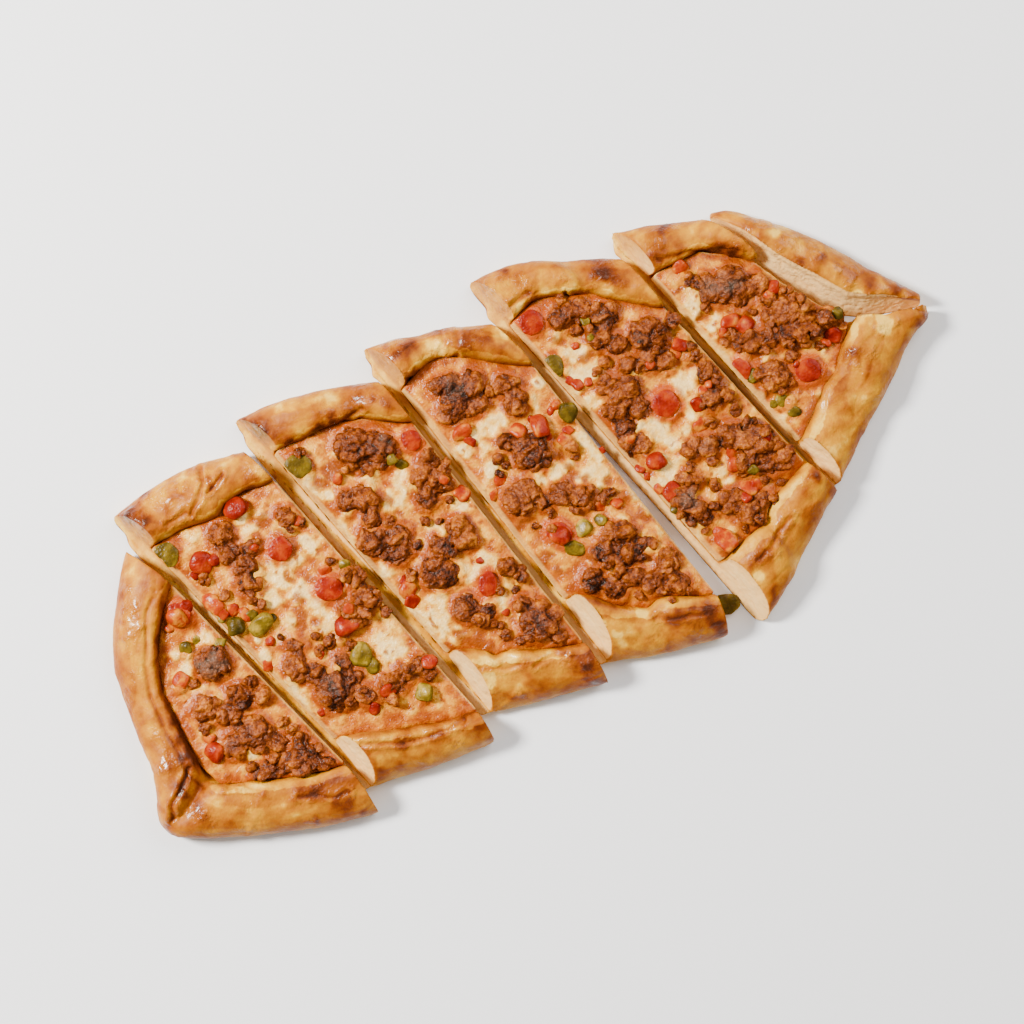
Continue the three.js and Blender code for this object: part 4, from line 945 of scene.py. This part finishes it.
pepper_pieces = []
for node in [name for name in topping_nodes if not name.startswith("meat")]:
    slot_name = "red_pepper" if node.startswith("red") else "green_pepper"
    dice = fine_copy(node, node.replace("pepper", "dice"), PEPPER_VOXEL)
    mesh = dice.data
    spots = relax(corners_of(mesh), edges_of(mesh), 9)
    put_corners(mesh, spots)
    normals = normals_of(mesh)
    relief = 0.5 * swells(spots, 4.5 * MM, 50) + 0.2 * swells(spots, 1.6 * MM, 51)
    spots = spots + normals * (relief * ramp(normals[:, 2], -0.6, 0.0) * MM)[:, None]
    spots[:, 2] -= 0.7 * np.maximum(spots[:, 2] - spots[:, 2].max() + CROWN, 0)
    if node != "green_pepper_fallen":
        spots = sink_underside(spots, normals)
    put_corners(mesh, spots)
    note(mesh, "tone", 0.2 + 0.3 * swells(spots, 4 * MM, 52) + 0.3 * (1 - ramp(normals[:, 2], 0, 0.8)))
    mesh.materials.append(red_material if slot_name == "red_pepper" else green_material)
    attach(dice, "root")
    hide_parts(node)
    pepper_pieces.append(dice)

# ---- The small bits ----
# Small dice of red and green pepper and loose crumbs of mince, which have stuck in the melted cheese.

LOWEST_SEAT = 6.5 * MM
SKY = 40 * MM
# Each as x, y and size in millimetres.
RED_BITS = [
    (-118.9, 37.1, 7.9), (-113.8, 38.8, 5), (-123.3, 35.8, 4.3), (-130.7, 18.1, 5.8), (-134, -5, 5),
    (-135.3, -10.1, 7.2), (-132.9, -0.9, 3.6), (-79.3, 57.8, 7.9), (-76.9, 56.9, 4.3),
    (-100.3, 48.2, 8.6), (-96.2, 46.7, 5), (-104.8, 46.1, 4.3), (-105.4, 33.9, 7.9), (-104.7, 29.9, 5),
    (-101, 28.2, 4.3), (-98.3, 24.6, 5), (-81.9, 42.1, 3.6), (-63.7, 41.8, 3.6), (-65.9, 21, 4.3),
    (-66, 4.9, 4.3), (-69.9, 0.6, 7.9), (-101.9, 4.8, 4.3), (-96.4, 11.5, 3.6), (-84.5, -2.8, 3.6),
    (-71.5, -27.1, 5), (-53.2, -27.1, 5), (-79, -29.7, 4.3), (-95.5, -20.1, 3.2), (-43.2, 45.5, 4.3),
    (-11.8, 23.4, 3.6), (-9.4, 16.1, 5.8), (-45.2, -1.6, 6.5), (-46.2, -5.6, 5), (-44, 2, 3.6),
    (-20.7, -28.1, 2.9), (-17.8, -7.4, 2.9), (3, 34.1, 6.5), (3.6, 29.9, 4.3), (27.3, 20, 7.9),
    (26.2, 23.4, 3.6), (27.5, 15.1, 3.6), (20, 23.3, 5.8), (31.9, 10.8, 5), (34.8, 13.1, 3.6),
    (36.4, 22.9, 4.3), (33.6, 22.2, 3.2), (40.8, -5.4, 4), (40.3, 0.2, 3.2), (34.4, -18.5, 5),
    (28.8, -15.9, 4.3), (4.5, 12.2, 5), (-0.1, 8.8, 3.6), (11, -16.3, 6.5), (37.7, 48.3, 4),
    (45.4, 27.2, 3.2), (46.9, 24.9, 4.7), (50.5, 23.2, 3.2), (54, 36.5, 2.9), (85.3, 15.4, 5),
    (82.2, 14, 4.3), (74.9, -12.4, 6.5), (78.1, -5.8, 5), (82.9, -2.6, 4.3), (85.6, -1.9, 3.2),
    (54.3, -14.3, 7.9), (48.6, -13, 4.3), (49.1, -16.8, 3.2), (52.9, -26.5, 6.5), (50.2, -22.8, 4),
    (77.1, -31.3, 6.5), (78.8, -26.9, 4.3), (76.4, -40.5, 7.2), (73.3, -43.1, 4.3), (58.8, -51.5, 7.9),
    (58.4, -47.7, 4.7), (79.5, -41.7, 5), (51.1, -2.5, 4), (91.7, -29.2, 4), (72.3, 15.6, 3.2),
    (101, 38.2, 5.8), (124.1, 13.5, 5.4), (121.3, 11.9, 3.2), (94.2, -6.5, 4.7), (104.8, 12, 6.8),
    (108.6, 8, 6.1), (100.2, 10.4, 3.6), (132.6, -12.9, 6.8), (128.8, -13.3, 4.3), (115.5, -14.2, 2.9),
]
GREEN_BITS = [
    (-122.7, 26.6, 5), (-111.6, 21.1, 4.3), (-117.8, 26.7, 2.9), (-95.3, 18.2, 7.9), (-96.4, 22.9, 4.3),
    (-103.6, 22.6, 7.6), (-105.7, 28.4, 4), (-58.7, 18.7, 5), (-72.1, -11.4, 9), (-71.1, -16.4, 5.4),
    (-61, -35.2, 6.8), (-91.1, 17.9, 3.6), (-23.4, 40.1, 5), (-21.5, 36.6, 4.3), (38.5, 18.4, 6.8),
    (39.5, 14.2, 4.3), (19.2, -18.9, 7.6), (12.8, -23.2, 6.8), (25.9, -20.1, 4.3), (44.7, 5.4, 5.4),
    (44.7, 1.5, 4.3), (60.1, 35.8, 2.9), (62.1, 41.9, 3.2), (50.8, -32, 4), (81.1, -36.3, 3.2),
    (95.7, -10.6, 5.4), (100.3, -8.5, 4.3), (103.9, -21.5, 4.3), (105.6, -27.9, 4.7), (100.8, -21, 3.2),
    (137.8, -7.3, 4.3),
]
MEAT_BITS = [
    (-127.7, 14.3, 5), (-133.2, -0.7, 5.4), (-118.6, -23.8, 5), (-109.4, -14.9, 5.8),
    (-107.9, -19, 5.4), (-110.5, 3.7, 6.5), (-114.1, 20.7, 3.2), (-107.5, 14.4, 4.3), (-123, -5.5, 4.3),
    (-104.1, -29.9, 4.3), (-127.1, -21.5, 4.7), (-62.3, 22.9, 4.7), (-60.5, 15.5, 5), (-100.5, 34, 4.3),
    (-93.1, 27.1, 4.7), (-103.2, 42.8, 4.7), (-83.5, -1.4, 4.7), (-78.7, -0.7, 5.4), (-73.6, -6, 6.1),
    (-82.1, 3.8, 4), (-62.4, 0.7, 7.6), (-56.4, 1.8, 5.4), (-56.2, -3.6, 4.7), (-72.4, -30.9, 5.4),
    (-85.2, -22.9, 4.7), (-78.6, -22.2, 4), (-92.4, 10.9, 4.3), (-60.5, -25.1, 4.7),
    (-56.2, -31.5, 5.4), (-91.2, 24.1, 3.6), (-67.6, 40.1, 4.3), (-62.4, 40, 4.3), (-91.9, -17.4, 4.3),
    (-11.1, 33.9, 6.1), (-9.2, 27.8, 5.4), (-14.4, 16.5, 4), (-49, 61.3, 5.4), (-41.5, 2.5, 5.4),
    (-10.7, -14.9, 7.6), (-8.6, -19.4, 5.8), (-13.5, -23.4, 4), (-18, -20.4, 4.3), (-26, -30.1, 4.7),
    (-25.7, -34.7, 4.7), (-30, -25.1, 6.1), (-36.4, 22.5, 4.7), (-26.1, 15.4, 4.7), (-21.6, 12.3, 4),
    (-33, 9.7, 4.3), (-24.4, 0.7, 4.3), (-15.3, -29.2, 4.3), (-45.3, 13.4, 4.3), (-39, 46.6, 3.6),
    (-22.3, -39.2, 4.3), (7.7, 18.7, 4.7), (8.8, 15.3, 4), (31.9, 7.7, 5.4), (31.6, 4, 4), (5.7, 14, 4),
    (29.1, -9.1, 4.3), (31.5, -13.9, 5.4), (34.9, -14, 4), (25.8, -13.9, 4.7), (20.3, -12.3, 4.7),
    (12.7, -7.5, 4), (5.4, -8.6, 3.6), (9.5, -13.5, 4), (21.2, -39.5, 4.7), (22.2, -50.7, 4.3),
    (29.5, -54, 4.3), (37.2, -59.3, 4.3), (30.9, -58.4, 4), (18.3, -34.9, 4.3), (30.2, -39.2, 4.3),
    (18.9, 40.7, 4.3), (59, 53.2, 4.7), (57.1, 41, 4.7), (61.9, 38.5, 4), (88, 24.4, 7.2),
    (90.3, 20.2, 5), (82.5, 23.4, 4.7), (88.2, 13.4, 4.7), (87.5, 9.1, 5), (87.5, 4.7, 4.7),
    (93, 1.3, 5.8), (88.8, -2.3, 4.7), (89.3, -9.2, 5.8), (88.3, -15.1, 4.7), (78.2, -13.8, 5.4),
    (80.4, -18.3, 4.7), (89.3, -21.9, 6.1), (92.8, -26.9, 4.7), (93.3, -33.8, 5), (96.2, -38.4, 4.7),
    (63.5, -22.4, 4.7), (58.4, -24.2, 4.7), (63, -27.7, 4), (70.8, -25.2, 4.7), (67.1, -33.2, 5.4),
    (82.9, -41.9, 4.7), (82, -49.6, 5), (87.4, -45.5, 4), (50.6, -34.9, 4.3), (52.6, -38.9, 4),
    (54.9, -44.4, 3.2), (73.2, -52.7, 4.7), (66.8, -52.6, 4), (63, -39.1, 5.4), (59.6, 25.7, 4.7),
    (54.9, 24.5, 3.6), (80.6, -29.4, 4.3), (76.9, 19, 4.3), (72.9, 24, 4), (101.3, 32.3, 5.8),
    (102.6, 29.2, 4.3), (127.2, 9.6, 4.7), (130, 4.2, 4.7), (115.8, -10, 4.7), (109.4, -3.4, 4.7),
    (128.1, -8, 5.4), (126.5, -13.5, 4.3), (132.8, -5.6, 6.5), (137.6, -12, 4), (122.8, -6.1, 5.4),
    (122.6, -10.3, 4), (117.8, -7.1, 4), (105.7, -18.3, 4.3), (109.9, -18.6, 3.2), (100.5, 21, 4.3),
    (113.3, 10.5, 4.3),
]

carrier = tree_of([piece.data for piece in cheese_pieces + mince_pieces + pepper_pieces + bread_pieces])


def pebble(rounds):
    """The corners and faces of a round ball of size 1."""
    ball = bmesh.new()
    bmesh.ops.create_icosphere(ball, subdivisions=rounds, radius=0.5)
    corners = np.array([corner.co for corner in ball.verts])
    faces = [[corner.index for corner in face.verts] for face in ball.faces]
    ball.free()
    return corners, faces


def scatter(name, places, boxy, flat, sunk, rounds, shape):
    """One mesh of many bits, each turned its own way and sunk a little into what it lies on."""
    ball, ball_faces = pebble(rounds)
    squared = np.sign(ball) * np.abs(ball * 2) ** boxy / 2
    all_corners, all_faces, all_marks = [], [], []
    for x, y, size in places:
        seat = carrier.ray_cast(Vector((x * MM, y * MM, SKY)), Vector((0, 0, -1)))[0]
        if seat is None or seat.z < LOWEST_SEAT:
            continue
        stretch = chance.uniform(0.8, 1.2, 3) * np.array([1, 1, flat])
        turn = np.array(Euler(chance.uniform((-0.4, -0.4, 0), (0.4, 0.4, 6.3))).to_matrix())
        corners = (squared * stretch * size * MM) @ turn.T
        centre = np.array(seat) + UP * (0.5 - sunk) * size * flat * MM
        relief, marks = shape(corners + centre, size)
        way = corners / np.maximum(np.linalg.norm(corners, axis=1), 1e-9)[:, None]
        start = len(all_corners) * len(ball)
        all_corners.append(corners + centre + way * relief[:, None] * MM)
        all_faces.extend([start + i for i in face] for face in ball_faces)
        all_marks.append(marks)
    mesh = bpy.data.meshes.new(name)
    mesh.from_pydata(np.concatenate(all_corners), [], all_faces)
    mesh.shade_smooth()
    for mark in all_marks[0]:
        note(mesh, mark, np.concatenate([marks[mark] for marks in all_marks]))
    return new_object(name, mesh)


def crumb_shape(spots, size):
    """A loose crumb's relief, in millimetres, and its shades."""
    relief, tone = craggy(spots, 80)
    tone, grey = shade_meat(spots, tone)
    return relief * min(1, size / 6), {"tone": tone + chance.uniform(-0.08, 0.12), "grey": grey}


def dice_shape(spots, size):
    """A small die's relief, in millimetres, and its shades."""
    relief = 0.11 * size * swells(spots, 0.5 * size * MM, 81) + 0.16 * swells(spots, 1.3 * MM, 82)
    tone = 0.25 + chance.uniform(-0.15, 0.35) + 0.35 * swells(spots, 2.5 * MM, 83)
    return relief, {"tone": tone}


mince_crumbs = scatter("mince_crumbs", MEAT_BITS, boxy=0.9, flat=0.8, sunk=0.32, rounds=4, shape=crumb_shape)
red_bits = scatter("red_bits", RED_BITS, boxy=0.75, flat=0.48, sunk=0.5, rounds=3, shape=dice_shape)
green_bits = scatter("green_bits", GREEN_BITS, boxy=0.75, flat=0.48, sunk=0.45, rounds=3, shape=dice_shape)
for bits, material, slot_name in (
    (mince_crumbs, meat_material, "meat"),
    (red_bits, red_material, "red_pepper"),
    (green_bits, green_material, "green_pepper"),
):
    bits.data.materials.append(material)
    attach(bits, "root")
    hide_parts(*cheese_nodes)

# ---- The table, the light and the camera ----
# A pale matt table under two soft, slightly warm lamps and a dim, even sky, seen from straight above.

TABLE_REACH = 2.5
PICTURE_TURN = math.radians(-34.6)
CAMERA_PLACE = (0.0015, 0.0003, 0.908)
CAMERA_LENS = 87.9
CAMERA_SENSOR = 36

floor_shell = bmesh.new()
bmesh.ops.create_grid(floor_shell, x_segments=1, y_segments=1, size=TABLE_REACH)
floor_mesh = bpy.data.meshes.new("floor")
floor_shell.to_mesh(floor_mesh)
floor_shell.free()
floor = new_object("floor", floor_mesh)
floor_material, _, floor_surface = blank_material("pale_floor")
floor_surface.inputs["Base Color"].default_value = (*screen(238, 241, 250), 1)
floor_surface.inputs["Roughness"].default_value = 0.6
floor_mesh.materials.append(floor_material)


def add_lamp(name, toward, distance, size, power, colour):
    """A soft square lamp that shines on the pide from a direction in the picture's frame."""
    lamp_data = bpy.data.lights.new(name, "AREA")
    lamp_data.size = size
    lamp_data.energy = power
    lamp_data.color = colour
    lamp = new_object(name, lamp_data)
    way = Vector(toward).normalized()
    way.rotate(Euler((0, 0, PICTURE_TURN)))
    lamp.location = way * distance
    lamp.rotation_euler = way.to_track_quat("Z", "Y").to_euler()


add_lamp("window", (-1.0, 0.3, 1.0), distance=1.3, size=0.28, power=54, colour=(1.0, 0.95, 0.85))
add_lamp("fill", (0.7, 0.8, 1.0), distance=1.6, size=1.1, power=26, colour=(1.0, 0.955, 0.87))

world = bpy.data.worlds.new("studio")
world.use_nodes = True
sky = world.node_tree.nodes["Background"]
sky.inputs["Color"].default_value = (1.0, 0.955, 0.88, 1)
sky.inputs["Strength"].default_value = 0.48
bpy.context.scene.world = world

camera_data = bpy.data.cameras.new("camera")
camera_data.sensor_width = CAMERA_SENSOR
camera_data.lens = CAMERA_LENS
camera = new_object("camera", camera_data)
camera.location = CAMERA_PLACE
camera.rotation_euler = (0, 0, PICTURE_TURN)
bpy.context.scene.camera = camera
